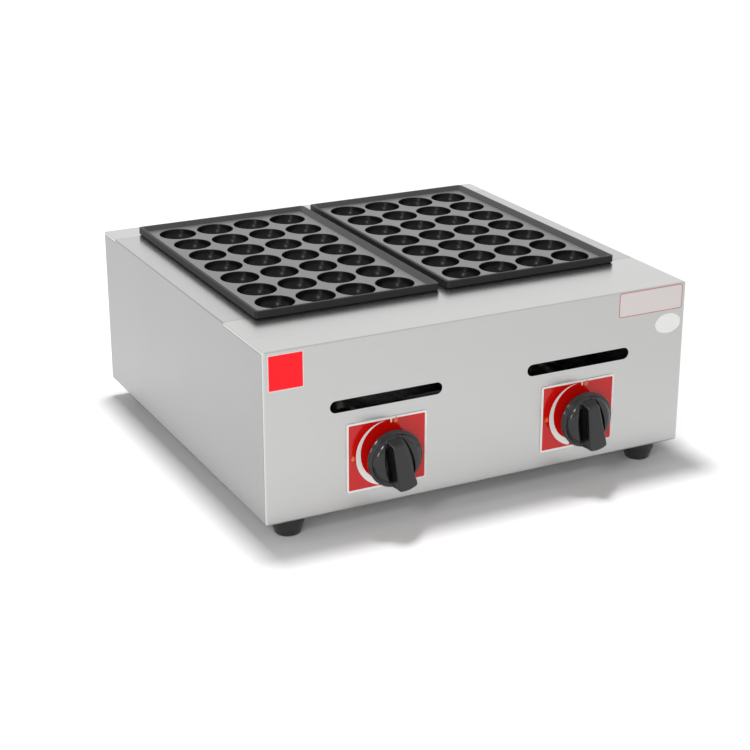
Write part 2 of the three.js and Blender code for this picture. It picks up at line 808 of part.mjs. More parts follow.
// A valve in the place of x = 0: flange, barrel, and a leg down to the saddle on the pipe.
function valveBody() {
  const flange = block([-flangeWidth / 2, flangeWidth / 2], [valveFrontY, valveFrontY + flangeThickness],
    [knobZ - flangeHeight / 2, knobZ + flangeHeight / 2]);
  const barrel = rod("y", barrelRadius, [valveFrontY + flangeThickness / 2, valveEndY], [0, 0, knobZ],
    turnedSegments);
  const leg = rod("z", legRadius, [pipeZ + pipeRadius + seatGap, knobZ], [0, pipeY, 0], pipeSegments);
  const bore = rod("y", spindleRadius + spindleFit,
    [valveFrontY - overrun, valveFrontY + spindleInValve + pushTravel + spindleFit], [0, 0, knobZ],
    turnedSegments);
  const saddle = saddleBlock([pipeZ + seatGap, pipeZ + saddleHeight]);
  return cut(join(flange, barrel, leg, saddle), ...saddleCuts(), bore);
}

function saddleBlock(height) {
  const reach = pipeRadius + saddleOverhang;
  return block([-saddleWidth / 2, saddleWidth / 2], [pipeY - reach, pipeY + reach], height);
}

// What the pipe and both screws take away from a saddle and its clamp.
function saddleCuts() {
  const pipe = rod("x", pipeRadius + seatGap, [-saddleWidth, saddleWidth], [0, pipeY, pipeZ], pipeSegments);
  const screws = [-clampScrewY, clampScrewY].map((y) =>
    rod("z", clampScrewRadius + clampScrewFit,
      [clampLowZ - overrun, pipeZ + saddleHeight + overrun], [0, pipeY + y, 0], pipeSegments));
  return [pipe, ...screws];
}

// The strap that holds the valve on the pipe from below.
function valveClamp() {
  return cut(saddleBlock([clampLowZ, pipeZ - seatGap]), ...saddleCuts());
}

function clampScrew(side) {
  const under = clampLowZ - seatGap;
  const at = [0, pipeY + side * clampScrewY, 0];
  const head = rod("z", clampScrewHeadRadius, [under - clampScrewHeadHeight, under], at, hexSegments);
  const shank = rod("z", clampScrewRadius, [under - clampScrewHeadHeight / 2, pipeZ + saddleHeight], at,
    pipeSegments);
  return head.add(shank);
}

// The brass jet screwed in the back of the valve, its tip inside the mouth of the mixing tube.
function jet() {
  const from = valveEndY + seatGap;
  const hex = rod("y", jetHexRadius, [from, from + jetHexLength], [0, 0, knobZ], hexSegments);
  const tip = turned("y", [
    [0, from + jetHexLength / 2],
    [jetTipRadius, from + jetHexLength / 2],
    [jetTipRadius, from + jetLength - jetTipRadius],
    [jetTipRadius / 2, from + jetLength],
    [0, from + jetLength],
  ], [0, 0, knobZ], pipeSegments);
  return hex.add(tip);
}

// One bent pipe: along the front under both valves, round the corner and back to the inlet.
function gasRail() {
  const end = tailStartY - seatGap;
  const route = (shorter) => bentLine([
    [-knobX - pipeLeftEnd + shorter, pipeY, pipeZ],
    [inletX, pipeY, pipeZ],
    [inletX, end + shorter, pipeZ],
  ], pipeBend, cornerSteps);
  const outside = sweep(route(0), circle(pipeRadius, pipeSegments));
  const inside = sweep(route(pipeWall), circle(pipeRadius - pipeWall, pipeSegments));
  return cut(outside, inside);
}

// The hose tail: a hexagon inside the back, a thread through it and barbs outside.
function hoseTail() {
  const from = tailStartY;
  const barbStart = rearY + inletReach - tailBarbs * tailBarbLength;
  const hex = rod("y", tailHexRadius, [from, from + tailHexLength], [inletX, 0, pipeZ], hexSegments);
  const profile = [
    [0, from + tailHexLength / 2],
    [tailThreadRadius, from + tailHexLength / 2],
    [tailThreadRadius, barbStart - tailBarbLength / 2],
    [tailBarbNeck, barbStart - tailBarbLength / 2],
  ];
  for (let barb = 0; barb < tailBarbs; barb++) {
    const y = barbStart + barb * tailBarbLength;
    profile.push([tailBarbNeck, y], [tailBarbRadius, y], [tailBarbNeck, y + tailBarbLength]);
  }
  profile.push([0, rearY + inletReach]);
  const tail = turned("y", profile, [inletX, 0, pipeZ], pipeSegments);
  const bore = rod("y", tailBore, [from - overrun, rearY + inletReach + overrun], [inletX, 0, pipeZ],
    pipeSegments);
  return cut(hex.add(tail), bore);
}

function lockNut() {
  const from = rearY + seatGap;
  return cut(
    rod("y", lockNutRadius, [from, from + lockNutThickness], [inletX, 0, pipeZ], hexSegments),
    rod("y", tailThreadRadius + seatGap, [from - overrun, from + lockNutThickness + overrun],
      [inletX, 0, pipeZ], pipeSegments));
}

// A burner about x = 0: header, flame pipes and mixing tube welded together, hollow all through.
function burner() {
  const mouthY = frontY + mixerFront;
  const riseY = mouthY + mixerStraight;
  const pipes = wellColumns - 1;
  const offsets = Array.from({ length: pipes }, (_, i) => (i - (pipes - 1) / 2) * columnPitch);
  const headerHalf = offsets.at(-1) + flamePipeRadius + headerOverhang;
  const mixerPath = (start) => bentLine([
    [0, start, knobZ],
    [0, riseY + mixerBend, knobZ],
    [0, headerY - mixerBend / 2, burnerZ],
    [0, headerY + headerRadius / 2, burnerZ],
  ], mixerBend / 2, bendSteps);
  const skin = (wall, mouth) => {
    const ends = [wall - headerHalf, headerHalf - wall];
    const header = rod("x", headerRadius - wall, ends, [0, headerY, burnerZ], pipeSegments);
    const mixer = sweep(mixerPath(mouth), circle(mixerRadius - wall, pipeSegments));
    const pipeEnds = [headerY, flamePipeEndY - wall];
    const flamePipes = offsets.map((x) =>
      rod("y", flamePipeRadius - wall, pipeEnds, [x, 0, burnerZ], pipeSegments));
    return join(header, mixer, ...flamePipes);
  };
  const ports = offsets.flatMap((x) => Array.from({ length: portCount }, (_, i) => {
    const first = headerY + headerRadius + portMargin;
    const y = THREE.MathUtils.lerp(first, flamePipeEndY - portMargin, i / (portCount - 1));
    return block([x - portLength / 2, x + portLength / 2], [y - portWidth / 2, y + portWidth / 2],
      [burnerZ + flamePipeRadius / 2, burnerZ + flamePipeRadius + overrun]);
  }));
  const windowY = frontY + shutterFront + shutterLength / 2;
  const windows = block([-mixerRadius - overrun, mixerRadius + overrun],
    [windowY - mixerWindowLength / 2, windowY + mixerWindowLength / 2],
    [knobZ - mixerWindowWidth / 2, knobZ + mixerWindowWidth / 2]);
  return cut(skin(0, mouthY), skin(burnerWall, mouthY - overrun), windows, ...ports);
}

// A sleeve about the mixing tube, with two windows over those of the tube and a tab to turn it by.
function airShutter() {
  const inner = mixerRadius + shutterFit;
  const outer = inner + shutterWall;
  const length = [frontY + shutterFront, frontY + shutterFront + shutterLength];
  const middle = frontY + shutterFront + shutterLength / 2;
  const sleeve = ring("y", inner, outer, length, [0, 0, knobZ], turnedSegments);
  const tab = block([-shutterTabWidth / 2, shutterTabWidth / 2],
    [length[0], length[0] + shutterTabThickness], [knobZ + inner, knobZ + outer + shutterTabLength]);
  const windows = block([-outer - overrun, outer + overrun],
    [middle - mixerWindowLength / 2, middle + mixerWindowLength / 2],
    [knobZ - mixerWindowWidth / 2, knobZ + mixerWindowWidth / 2]);
  return cut(join(sleeve, tab), windows);
}

// An angle bar from side panel to side panel, its flat leg under the pipes that it carries.
function burnerBar(y) {
  const half = insideHalf - seamGap;
  const corners = [
    [y - barLeg / 2, barTopZ],
    [y - barLeg / 2, barTopZ - barThickness],
    [y + barLeg / 2 - barThickness, barTopZ - barThickness],
    [y + barLeg / 2 - barThickness, barTopZ - barLeg],
    [y + barLeg / 2, barTopZ - barLeg],
    [y + barLeg / 2, barTopZ],
  ];
  return prism("x", corners, [-half, half]);
}

// The igniter on top of the valve's barrel.
function igniter() {
  const from = valveFrontY + flangeThickness + igniterStart;
  const low = knobZ + barrelRadius + seatGap;
  return block([-igniterWidth / 2, igniterWidth / 2], [from, from + igniterLength],
    [low, low + igniterHeight]);
}

// The ceramic electrode with its bent pin, hung in a strip on the header, between two flame pipes.
function electrode() {
  const y = headerY + headerRadius + electrodeBack;
  const seat = burnerZ + headerRadius + seatGap + holderThickness + seatGap;
  const ceramic = turned("z", [
    [0, seat - electrodeBelow],
    [electrodeRadius, seat - electrodeBelow],
    [electrodeRadius, seat],
    [electrodeCollar, seat],
    [electrodeCollar, seat + electrodeCollarHeight],
    [electrodeRadius, seat + electrodeCollarHeight],
    [electrodeRadius, seat + electrodeCollarHeight + electrodeAbove],
    [0, seat + electrodeCollarHeight + electrodeAbove],
  ], [columnPitch / 2, y, 0], pipeSegments);
  const top = seat + electrodeCollarHeight + electrodePinRise;
  const pin = sweep(bentLine([
    [columnPitch / 2, y, seat],
    [columnPitch / 2, y, top],
    [columnPitch / 2, y + electrodePinReach, top],
  ], 2 * electrodePin, bendSteps), circle(electrodePin, wireSegments));
  return ceramic.add(pin);
}

// The strip on the header that the electrode hangs in.
function electrodeHolder() {
  const y = headerY + headerRadius + electrodeBack;
  const low = burnerZ + headerRadius + seatGap;
  const x = columnPitch / 2;
  const through = [low - overrun, low + overrun];
  const strip = block([x - holderWidth / 2, x + holderWidth / 2], [headerY - holderFront, y + holderRear],
    [low, low + holderThickness]);
  return cut(strip, rod("z", electrodeRadius + seatGap, through, [x, y, 0], pipeSegments));
}

// The lead from the electrode's foot, under the front bar and up to the igniter.
function ignitionLead() {
  const x = columnPitch / 2;
  const electrodeY = headerY + headerRadius + electrodeBack;
  const seat = burnerZ + headerRadius + holderThickness + 2 * seatGap;
  const start = seat - electrodeBelow - seatGap;
  const low = burnerZ - headerRadius - barLeg - leadDrop;
  const igniterEnd = valveFrontY + flangeThickness + igniterStart + igniterLength + seatGap;
  const igniterZ = knobZ + barrelRadius + igniterHeight / 2;
  return sweep(bentLine([
    [x, electrodeY, start],
    [x, electrodeY, low],
    [x, electrodeY - leadForward, low],
    [x, igniterEnd + leadRise, igniterZ],
    [0, igniterEnd + leadRise, igniterZ],
    [0, igniterEnd, igniterZ],
  ], leadBend, bendSteps), circle(leadRadius, hexSegments));
}

function foot() {
  const top = baseZ - seatGap;
  const profile = [
    [footScrewRadius + footScrewFit, footRecessDepth],
    [footRecessRadius, footRecessDepth],
    [footRecessRadius, 0],
    [footBottomRadius - footEdge, 0],
    [footBottomRadius, footEdge],
    [(footBottomRadius + footTopRadius) / 2, footShoulder],
    [footTopRadius, 2 * footShoulder],
    [footTopRadius, top],
    [footScrewRadius + footScrewFit, top],
    [footScrewRadius + footScrewFit, footRecessDepth],
  ];
  return turned("z", profile, [0, 0, 0], turnedSegments);
}

function footScrew() {
  const under = footRecessDepth - seatGap;
  const end = basePlateZ + sheetThickness + seatGap + footNutHeight + footScrewEnd;
  const head = rod("z", footScrewHeadRadius, [under - footScrewHeadHeight, under], [0, 0, 0], pipeSegments);
  const shank = rod("z", footScrewRadius, [under - footScrewHeadHeight / 2, end], [0, 0, 0], pipeSegments);
  return head.add(shank);
}

function footNut() {
  const low = basePlateZ + sheetThickness + seatGap;
  const through = [low - overrun, low + footNutHeight + overrun];
  return cut(
    rod("z", footNutRadius, [low, low + footNutHeight], [0, 0, 0], hexSegments),
    rod("z", footScrewRadius + seatGap, through, [0, 0, 0], pipeSegments));
}

// Finishes, as colour, roughness and metalness
const finishes = {
  steel: [0xc9c9c9, 0.38, 0.9],
  zinc: [0xb4b6b8, 0.5, 0.9],
  casting: [0x2b2c2e, 0.55, 0.3],
  blackPlastic: [0x101012, 0.18, 0],
  redPlate: [0xe0202c, 0.35, 0],
  brass: [0xc0a05a, 0.35, 1],
  rubber: [0x1c1c1d, 0.8, 0],
  ceramic: [0xf0ede6, 0.4, 0],
  redLead: [0xb02a20, 0.5, 0],
};

function piece(name, solid, finish, [x, y, z] = [0, 0, 0], turn = 0) {
  const [color, roughness, metalness] = finishes[finish];
  const material = new THREE.MeshStandardMaterial({ color, roughness, metalness, flatShading: true });
  const mesh = new THREE.Mesh(geometryOf(solid), material);
  mesh.name = name;
  mesh.position.set(x, y, z);
  mesh.rotation.y = THREE.MathUtils.degToRad(turn);
  return mesh;
}

const takoyakiMaker = new THREE.Group();

takoyakiMaker.add(
  piece("front_panel", frontPanel(), "steel"),
  piece("rear_panel", rearPanel(), "steel"),
  piece("base_plate", basePlate(), "zinc"),
  piece("centre_rail", centreRail(), "steel"),
  piece("front_burner_bar", burnerBar(headerY + frontBarFromHeader), "zinc"),
  piece("rear_burner_bar", burnerBar(flamePipeEndY - rearBarFromEnd), "zinc"),
  piece("gas_rail", gasRail(), "zinc"),
  piece("hose_tail", hoseTail(), "brass"),
  piece("hose_tail_nut", lockNut(), "brass"),
);

for (const [name, side, knobAngle] of [["left", -1, leftKnobAngle], ["right", 1, rightKnobAngle]]) {
  takoyakiMaker.add(
    piece(`${name}_side_panel`, sidePanel(side), "steel"),
    piece(`${name}_plate`, plate(side), "casting"),
    piece(`${name}_dial_plate`, dialPlate(side), "redPlate"),
  );

  const onAxis = [side * knobX, 0, 0];
  takoyakiMaker.add(
    piece(`${name}_burner`, burner(), "steel", onAxis),
    piece(`${name}_air_shutter`, airShutter(), "zinc", onAxis),
    piece(`${name}_valve_body`, valveBody(), "brass", onAxis),
    piece(`${name}_valve_bonnet`, bonnet(), "zinc", onAxis),
    piece(`${name}_valve_clamp`, valveClamp(), "zinc", onAxis),
    piece(`${name}_clamp_screw_1`, clampScrew(-1), "zinc", onAxis),
    piece(`${name}_clamp_screw_2`, clampScrew(1), "zinc", onAxis),
    piece(`${name}_jet`, jet(), "brass", onAxis),
    piece(`${name}_igniter`, igniter(), "blackPlastic", onAxis),
    piece(`${name}_electrode`, electrode(), "ceramic", onAxis),
    piece(`${name}_electrode_holder`, electrodeHolder(), "zinc", onAxis),
    piece(`${name}_ignition_lead`, ignitionLead(), "redLead", onAxis),
  );

  const atKnob = [side * knobX, frontY, knobZ];
  takoyakiMaker.add(
    piece(`${name}_knob`, knob(), "blackPlastic", atKnob, -knobAngle),
    piece(`${name}_spindle`, spindle(), "zinc", atKnob, -knobAngle),
    piece(`${name}_spring_washer`, springWasher(), "zinc", atKnob),
    piece(`${name}_return_spring`, returnSpring(), "zinc", atKnob),
  );
}

for (const [end, y] of [["front", frontY + footInset], ["rear", rearY - footInset]]) {
  for (const [name, x] of [["left", -footX], ["right", footX]]) {
    takoyakiMaker.add(
      piece(`${end}_${name}_foot`, foot(), "rubber", [x, y, 0]),
      piece(`${end}_${name}_foot_screw`, footScrew(), "zinc", [x, y, 0]),
      piece(`${end}_${name}_foot_nut`, footNut(), "zinc", [x, y, 0]),
    );
  }
}

export default takoyakiMaker;
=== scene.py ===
import math

import bmesh
import bpy
from mathutils import Matrix, Vector


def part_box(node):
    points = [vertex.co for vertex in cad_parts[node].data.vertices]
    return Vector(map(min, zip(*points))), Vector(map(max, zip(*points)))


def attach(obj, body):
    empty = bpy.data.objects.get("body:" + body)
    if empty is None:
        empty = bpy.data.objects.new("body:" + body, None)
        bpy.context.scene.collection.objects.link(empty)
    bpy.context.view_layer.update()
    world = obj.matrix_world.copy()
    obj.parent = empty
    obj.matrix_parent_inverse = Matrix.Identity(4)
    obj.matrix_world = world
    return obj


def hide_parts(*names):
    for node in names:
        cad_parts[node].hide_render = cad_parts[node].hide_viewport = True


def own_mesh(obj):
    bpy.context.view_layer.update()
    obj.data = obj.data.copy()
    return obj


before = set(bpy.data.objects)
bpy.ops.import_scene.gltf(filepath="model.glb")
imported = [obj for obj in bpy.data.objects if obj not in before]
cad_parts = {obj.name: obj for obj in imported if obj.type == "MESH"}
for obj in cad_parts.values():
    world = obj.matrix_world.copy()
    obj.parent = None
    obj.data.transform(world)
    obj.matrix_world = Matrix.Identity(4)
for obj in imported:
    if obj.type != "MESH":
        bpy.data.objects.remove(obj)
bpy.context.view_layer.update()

bpy.context.scene.view_settings.view_transform = "Standard"


# The worktop: a plain white sweep that the stove stands on. It shows as white to the camera, and in the
# steel and the black coating too, but it lights the stove only as a pale surface would. It keeps the shadow.
worktop_reach = 30.0
worktop_albedo = 0.8
worktop_glow_rings = ((0.27, 0.0), (0.45, 0.14), (3.0, 0.85))


def add_node(tree, kind, inputs=(), **settings):
    """A new node with its settings. Each input gets a value, or a link from the output of another node."""
    node = tree.nodes.new(kind)
    for name, value in settings.items():
        setattr(node, name, value)
    for name, value in dict(inputs).items():
        if isinstance(value, bpy.types.NodeSocket):
            tree.links.new(value, node.inputs[name])
        else:
            node.inputs[name].default_value = value
    return node


def seen_directly(tree):
    """1 where the camera, a mirror or a glass looks, and 0 where only light falls."""
    path = add_node(tree, "ShaderNodeLightPath").outputs
    camera_or_gloss = add_node(tree, "ShaderNodeMath", {0: path["Is Camera Ray"], 1: path["Is Glossy Ray"]},
                               operation="MAXIMUM")
    any_look = add_node(tree, "ShaderNodeMath",
                        {0: camera_or_gloss.outputs[0], 1: path["Is Transmission Ray"]},
                        operation="MAXIMUM")
    return any_look.outputs[0]


def show_by_look(tree, lit, seen, output):
    """One shader where only light falls, and another where the camera or a mirror looks."""
    choice = add_node(tree, "ShaderNodeMixShader",
                      {"Fac": seen_directly(tree), 1: lit.outputs[0], 2: seen.outputs[0]})
    add_node(tree, output, {"Surface": choice.outputs[0]})


def glow_by_distance(tree):
    """No glow under the stove, a little round it and more far out, where no lamp reaches."""
    place = add_node(tree, "ShaderNodeTexCoord").outputs["Object"]
    away = add_node(tree, "ShaderNodeVectorMath", {0: place}, operation="LENGTH").outputs["Value"]
    parts = {}
    for (near, low), (far, high) in zip(worktop_glow_rings, worktop_glow_rings[1:]):
        ring = add_node(tree, "ShaderNodeMapRange",
                        {"From Min": near, "From Max": far, "To Max": high - low, "Value": away},
                        interpolation_type="SMOOTHSTEP")
        parts[len(parts)] = ring.outputs[0]
    return add_node(tree, "ShaderNodeMath", parts).outputs[0]


def put_in_scene(name, data):
    thing = bpy.data.objects.new(name, data)
    bpy.context.scene.collection.objects.link(thing)
    return thing


def lay_worktop():
    reach = worktop_reach
    mesh = bpy.data.meshes.new("worktop")
    mesh.from_pydata([(-reach, -reach, 0), (reach, -reach, 0), (reach, reach, 0), (-reach, reach, 0)], [],
                     [(0, 1, 2, 3)])
    worktop = put_in_scene("worktop", mesh)
    material = bpy.data.materials.new("worktop")
    material.use_nodes = True
    tree = material.node_tree
    tree.nodes.clear()
    pale = add_node(tree, "ShaderNodeBsdfDiffuse", {"Color": (worktop_albedo,) * 3 + (1,)})
    glow = add_node(tree, "ShaderNodeEmission", {"Strength": glow_by_distance(tree)})
    both = add_node(tree, "ShaderNodeAddShader", {0: pale.outputs[0], 1: glow.outputs[0]})
    show_by_look(tree, pale, both, "ShaderNodeOutputMaterial")
    mesh.materials.append(material)


lay_worktop()


# The room: white all round where it is looked at, and a dimmer even light where it only lights things.
room_light = 0.3


def light_room():
    world = bpy.data.worlds.new("room")
    bpy.context.scene.world = world
    world.use_nodes = True
    tree = world.node_tree
    tree.nodes.clear()
    white = (1, 1, 1, 1)
    seen = add_node(tree, "ShaderNodeBackground", {"Color": white})
    lit = add_node(tree, "ShaderNodeBackground", {"Color": white, "Strength": room_light})
    show_by_look(tree, lit, seen, "ShaderNodeOutputWorld")


light_room()


# The lamps: a soft main lamp high above the stove and a weaker one in front on the left. Both are behind
# cloth, so no steel or coating mirrors them. Two small bare lamps on the left draw the little lights.
def hang_lamp(name, place, size, power, bare=False):
    lamp = bpy.data.lights.new(name, "AREA")
    lamp.shape = "DISK"
    lamp.size = size
    lamp.energy = power
    holder = put_in_scene(name, lamp)
    holder.location = place
    holder.rotation_euler = (-Vector(place)).to_track_quat("-Z", "Y").to_euler()
    holder.visible_glossy = bare


hang_lamp("main_lamp", place=(-0.05, 0.27, 2.4), size=0.5, power=54)
hang_lamp("front_lamp", place=(-1.1, -2.0, 0.8), size=0.9, power=11)
hang_lamp("small_lamp", place=(-1.6, -1.65, 1.6), size=0.5, power=12, bare=True)
hang_lamp("side_lamp", place=(-1.95, -1.6, 0.56), size=0.6, power=6, bare=True)


# The camera, fitted to the corners of the box and of both plates.
camera_place = Vector((-0.8193, -1.5909, 0.7430))
camera_azimuth = math.radians(-26.9)
camera_elevation = math.radians(20.83)
camera_lens = 84.22
camera_sensor = 36
camera_sight = 100


def set_camera():
    camera = bpy.data.cameras.new("camera")
    camera.lens = camera_lens
    camera.sensor_width = camera_sensor
    camera.clip_end = camera_sight
    holder = put_in_scene("camera", camera)
    look = Vector((-math.sin(camera_azimuth) * math.cos(camera_elevation),
                   math.cos(camera_azimuth) * math.cos(camera_elevation),
                   -math.sin(camera_elevation)))
    holder.location = camera_place
    holder.rotation_euler = look.to_track_quat("-Z", "Y").to_euler()
    bpy.context.scene.camera = holder


set_camera()


# The front panel: one sheet of 1 mm stainless steel, brushed along its width. The face, the front strip of
# the deck and the bottom flange are folded from it, after both flame slots are punched in the face.
sheet = 0.001
fold_radius = 0.002
fold_steps = 5
steel_colour = (0.61, 0.61, 0.605)
# The face and the back take a darker copy of the same steel: painted shade.
face_painted_shade_colour = (0.49, 0.49, 0.486)
steel_roughness = 0.26
steel_mottle = 0.04
brush_stretch = 0.015
brush_grain = 1600
brush_bump = 0.05
cloud_grain = 9
gloss_spread = 0.15
bump_depth = 0.0002
weld_distance = 1e-6
facing_share = 0.7


def new_finish(name, metallic=0):
    """A new material, its node tree, and the output that says where on the piece a point lies."""
    material = bpy.data.materials.new(name)
    material.use_nodes = True
    tree = material.node_tree
    tree.nodes["Principled BSDF"].inputs["Metallic"].default_value = metallic
    return material, tree, add_node(tree, "ShaderNodeTexCoord").outputs["Object"]


def noise_at(tree, place, grain, detail):
    """Cloudy noise, finer where the grain is a larger number."""
    noise = add_node(tree, "ShaderNodeTexNoise", {"Scale": grain, "Detail": detail, "Vector": place})
    return noise.outputs["Fac"]


def around(value, spread):
    """A value made smaller and larger by a share of it."""
    return value * (1 - spread), value * (1 + spread)


def tints_around(colour, spread):
    """A colour made darker and lighter by a share of it."""
    dark, light = zip(*(around(part, spread) for part in colour))
    return dark, [min(part, 1) for part in light]


def feed_skin(tree, name, output):
    tree.links.new(output, tree.nodes["Principled BSDF"].inputs[name])


def tint_skin(tree, factor, first, second):
    """Runs the colour of the skin from the first to the second, as the factor goes from 0 to 1."""
    tint = add_node(tree, "ShaderNodeMix", {"A": (*first, 1), "B": (*second, 1), "Factor": factor},
                    data_type="RGBA")
    feed_skin(tree, "Base Color", tint.outputs["Result"])


def roughen_skin(tree, factor, least, most):
    """Runs the roughness of the skin from the least to the most, as the factor goes from 0 to 1."""
    rough = add_node(tree, "ShaderNodeMapRange", {"To Min": least, "To Max": most, "Value": factor})
    feed_skin(tree, "Roughness", rough.outputs[0])


def raise_skin(tree, height, strength, depth=bump_depth):
    """Raises and sinks the skin a hair as the height goes."""
    relief = add_node(tree, "ShaderNodeBump", {"Strength": strength, "Distance": depth, "Height": height})
    feed_skin(tree, "Normal", relief.outputs[0])


def brushed_steel(name, grain, colour=steel_colour):
    """Rolled and brushed sheet, with its fine lines along the grain axis: 0 for x, 1 for y, 2 for z."""
    material, tree, place = new_finish(name, metallic=1)
    stretch = [1, 1, 1]
    stretch[grain] = brush_stretch
    lines = add_node(tree, "ShaderNodeMapping", {"Scale": stretch, "Vector": place})
    fine = noise_at(tree, lines.outputs[0], brush_grain, detail=3)
    broad = noise_at(tree, place, cloud_grain, detail=2)
    tint_skin(tree, fine, *tints_around(colour, steel_mottle))
    roughen_skin(tree, broad, *around(steel_roughness, gloss_spread))
    raise_skin(tree, fine, brush_bump)
    return material


def shape_piece(name, shape):
    """A piece with the mesh of a shape, which is used up."""
    mesh = bpy.data.meshes.new(name)
    shape.to_mesh(mesh)
    shape.free()
    return put_in_scene(name, mesh)


def welded_piece(name, points, faces):
    """A piece from points and faces. Points that meet are welded, and every face is turned outward."""
    mesh = bpy.data.meshes.new(name)
    mesh.from_pydata(points, [], faces)
    shape = bmesh.new()
    shape.from_mesh(mesh)
    bmesh.ops.remove_doubles(shape, verts=shape.verts[:], dist=weld_distance)
    bmesh.ops.recalc_face_normals(shape, faces=shape.faces[:])
    shape.to_mesh(mesh)
    shape.free()
    return put_in_scene(name, mesh)


def rounded_block(name, low, high, radius, steps=fold_steps):
    """A block with all its edges rounded, or left sharp where the radius is 0."""
    shape = bmesh.new()
    size = [b - a for a, b in zip(low, high)]
    middle = [(a + b) / 2 for a, b in zip(low, high)]
    bmesh.ops.create_cube(shape, size=1, matrix=Matrix.Translation(middle) @ Matrix.Diagonal((*size, 1)))
    if radius:
        bmesh.ops.bevel(shape, geom=shape.edges[:], offset=radius, segments=steps, profile=0.5,
                        affect="EDGES")
    return shape_piece(name, shape)


def drawn_prism(name, outline, place, depth):
    """A flat outline of points (u, v), set in space by place(u, v, w), with w from 0 to depth."""
    count = len(outline)
    points = [place(u, v, w) for w in (0, depth) for u, v in outline]
    faces = [tuple(range(count)), tuple(range(2 * count - 1, count - 1, -1))]
    faces += [(i, i + count, (i + 1) % count + count, (i + 1) % count) for i in range(count)]
    return welded_piece(name, points, faces)


def settle(piece):
    """Works the modifiers of a piece into its mesh."""
    ready = piece.evaluated_get(bpy.context.evaluated_depsgraph_get())
    mesh = bpy.data.meshes.new_from_object(ready)
    piece.modifiers.clear()
    piece.data = mesh
    return piece


def carve(piece, tools, operation="DIFFERENCE"):
    """Takes each tool away from the piece, or joins it on, and clears the tools away."""
    for tool in tools:
        cut = piece.modifiers.new("cut", "BOOLEAN")
        cut.operation = operation
        cut.solver = "EXACT"
        cut.object = tool
        settle(piece)
        bpy.data.objects.remove(tool)
    return piece


def shade(piece, angle=35):
    """Smooth over its curves, and crisp at its edges and flats."""
    piece.data.shade_smooth()
    piece.data.set_sharp_from_angle(angle=math.radians(angle))
    flats = piece.modifiers.new("flats", "WEIGHTED_NORMAL")
    flats.keep_sharp = True
    return settle(piece)


def finish_piece(piece, body, material, slot, *stands_for):
    """Gives a piece its finish and puts it on the body that it moves with."""
    piece.data.materials.clear()
    piece.data.materials.append(material)
    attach(piece, body)
    if stands_for:
        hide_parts(*stands_for)
    return piece


def paint_shade_on_side(piece, material, toward):
    """Gives the faces that look one way a darker copy of the same finish: painted shade."""
    piece.data.materials.append(material)
    for face in piece.data.polygons:
        face.material_index = int(face.normal.dot(Vector(toward)) > facing_share)


def circle_turns(steps):
    """The cosine and sine of equal turns all round."""
    return [(math.cos(math.tau * k / steps), math.sin(math.tau * k / steps)) for k in range(steps)]


def round_points(u, v, radius, steps=32):
    return [(u + radius * c, v + radius * s) for c, s in circle_turns(steps)]


def slot_outline(u, v, length, height, steps=16):
    """A punched slot with round ends."""
    reach = (length - height) / 2
    turns = [math.pi * k / steps for k in range(steps + 1)]
    right = [(u + reach + height / 2 * math.sin(t), v - height / 2 * math.cos(t)) for t in turns]
    left = [(u - reach - height / 2 * math.sin(t), v + height / 2 * math.cos(t)) for t in turns]
    return right + left


face_low, face_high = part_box("front_panel")
box_half = face_high.x
front_y = face_low.y
base_z = face_low.z
deck_z = face_high.z
front_strip = face_high.y - face_low.y
rear_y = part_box("rear_panel")[1].y
opening_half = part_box("right_side_panel")[0].x
corner_return = 0.003
bottom_flange = 0.05
seam = 0.0004
lip_drop = 0.01
knob_axis_x = (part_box("right_spindle")[0].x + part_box("right_spindle")[1].x) / 2
knob_axis_rise = 0.0525
knob_axis_z = base_z + knob_axis_rise
flame_slot = (0.120, 0.0123)
flame_slot_x = 0.108
flame_slot_rise = 0.1083
flame_slot_z = base_z + flame_slot_rise
spindle_hole = 0.007
foot_inset = 0.024
foot_x = (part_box("front_right_foot")[0].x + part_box("front_right_foot")[1].x) / 2
foot_hole_radius = 0.0029
overrun = 0.005
both_sides = ((-1, "left"), (1, "right"))


def folded_end(name, strip):
    """The folded sheet of the front, in its own place; the rear panel is the same form turned round."""
    back = front_y + 2 * front_strip
    outer = rounded_block(name, (-box_half, front_y, base_z), (box_half, back, deck_z), fold_radius)
    inside = rounded_block("inside", (-box_half + sheet, front_y + sheet, base_z + sheet),
                           (box_half - sheet, back + overrun, deck_z - sheet), fold_radius - sheet)
    below_strip = deck_z - corner_return
    under = base_z - overrun
    behind = back + overrun
    side = box_half + overrun
    between = box_half - fold_radius - seam
    blocks = [
        ((-side, front_y + strip, below_strip - overrun), (side, behind, deck_z + overrun)),
        ((-side, front_y + bottom_flange, under), (side, behind, below_strip)),
        ((-side, front_y + corner_return, under), (-between, behind, below_strip)),
        ((between, front_y + corner_return, under), (side, behind, below_strip)),
    ]
    carve(outer, [inside] + [rounded_block("waste", low, high, 0) for low, high in blocks])
    lip = rounded_block("lip", (-opening_half + seam, front_y + strip - sheet, deck_z - lip_drop),
                        (opening_half - seam, front_y + strip, deck_z - sheet / 2), 0)
    return carve(outer, [lip], "UNION")


def across_y(y):
    """Sets an outline of x and z points to run back along y."""
    return lambda u, v, w: (u, y + w, v)


def punch(name, outline, y):
    """A tool that cuts an outline of x and z points through the sheet at y."""
    return drawn_prism(name, outline, across_y(y - overrun), 2 * overrun)


def foot_hole(x, y):
    outline = round_points(x, y, foot_hole_radius, steps=24)
    return drawn_prism("hole", outline, lambda u, v, w: (u, v, base_z - overrun + w), 2 * overrun)


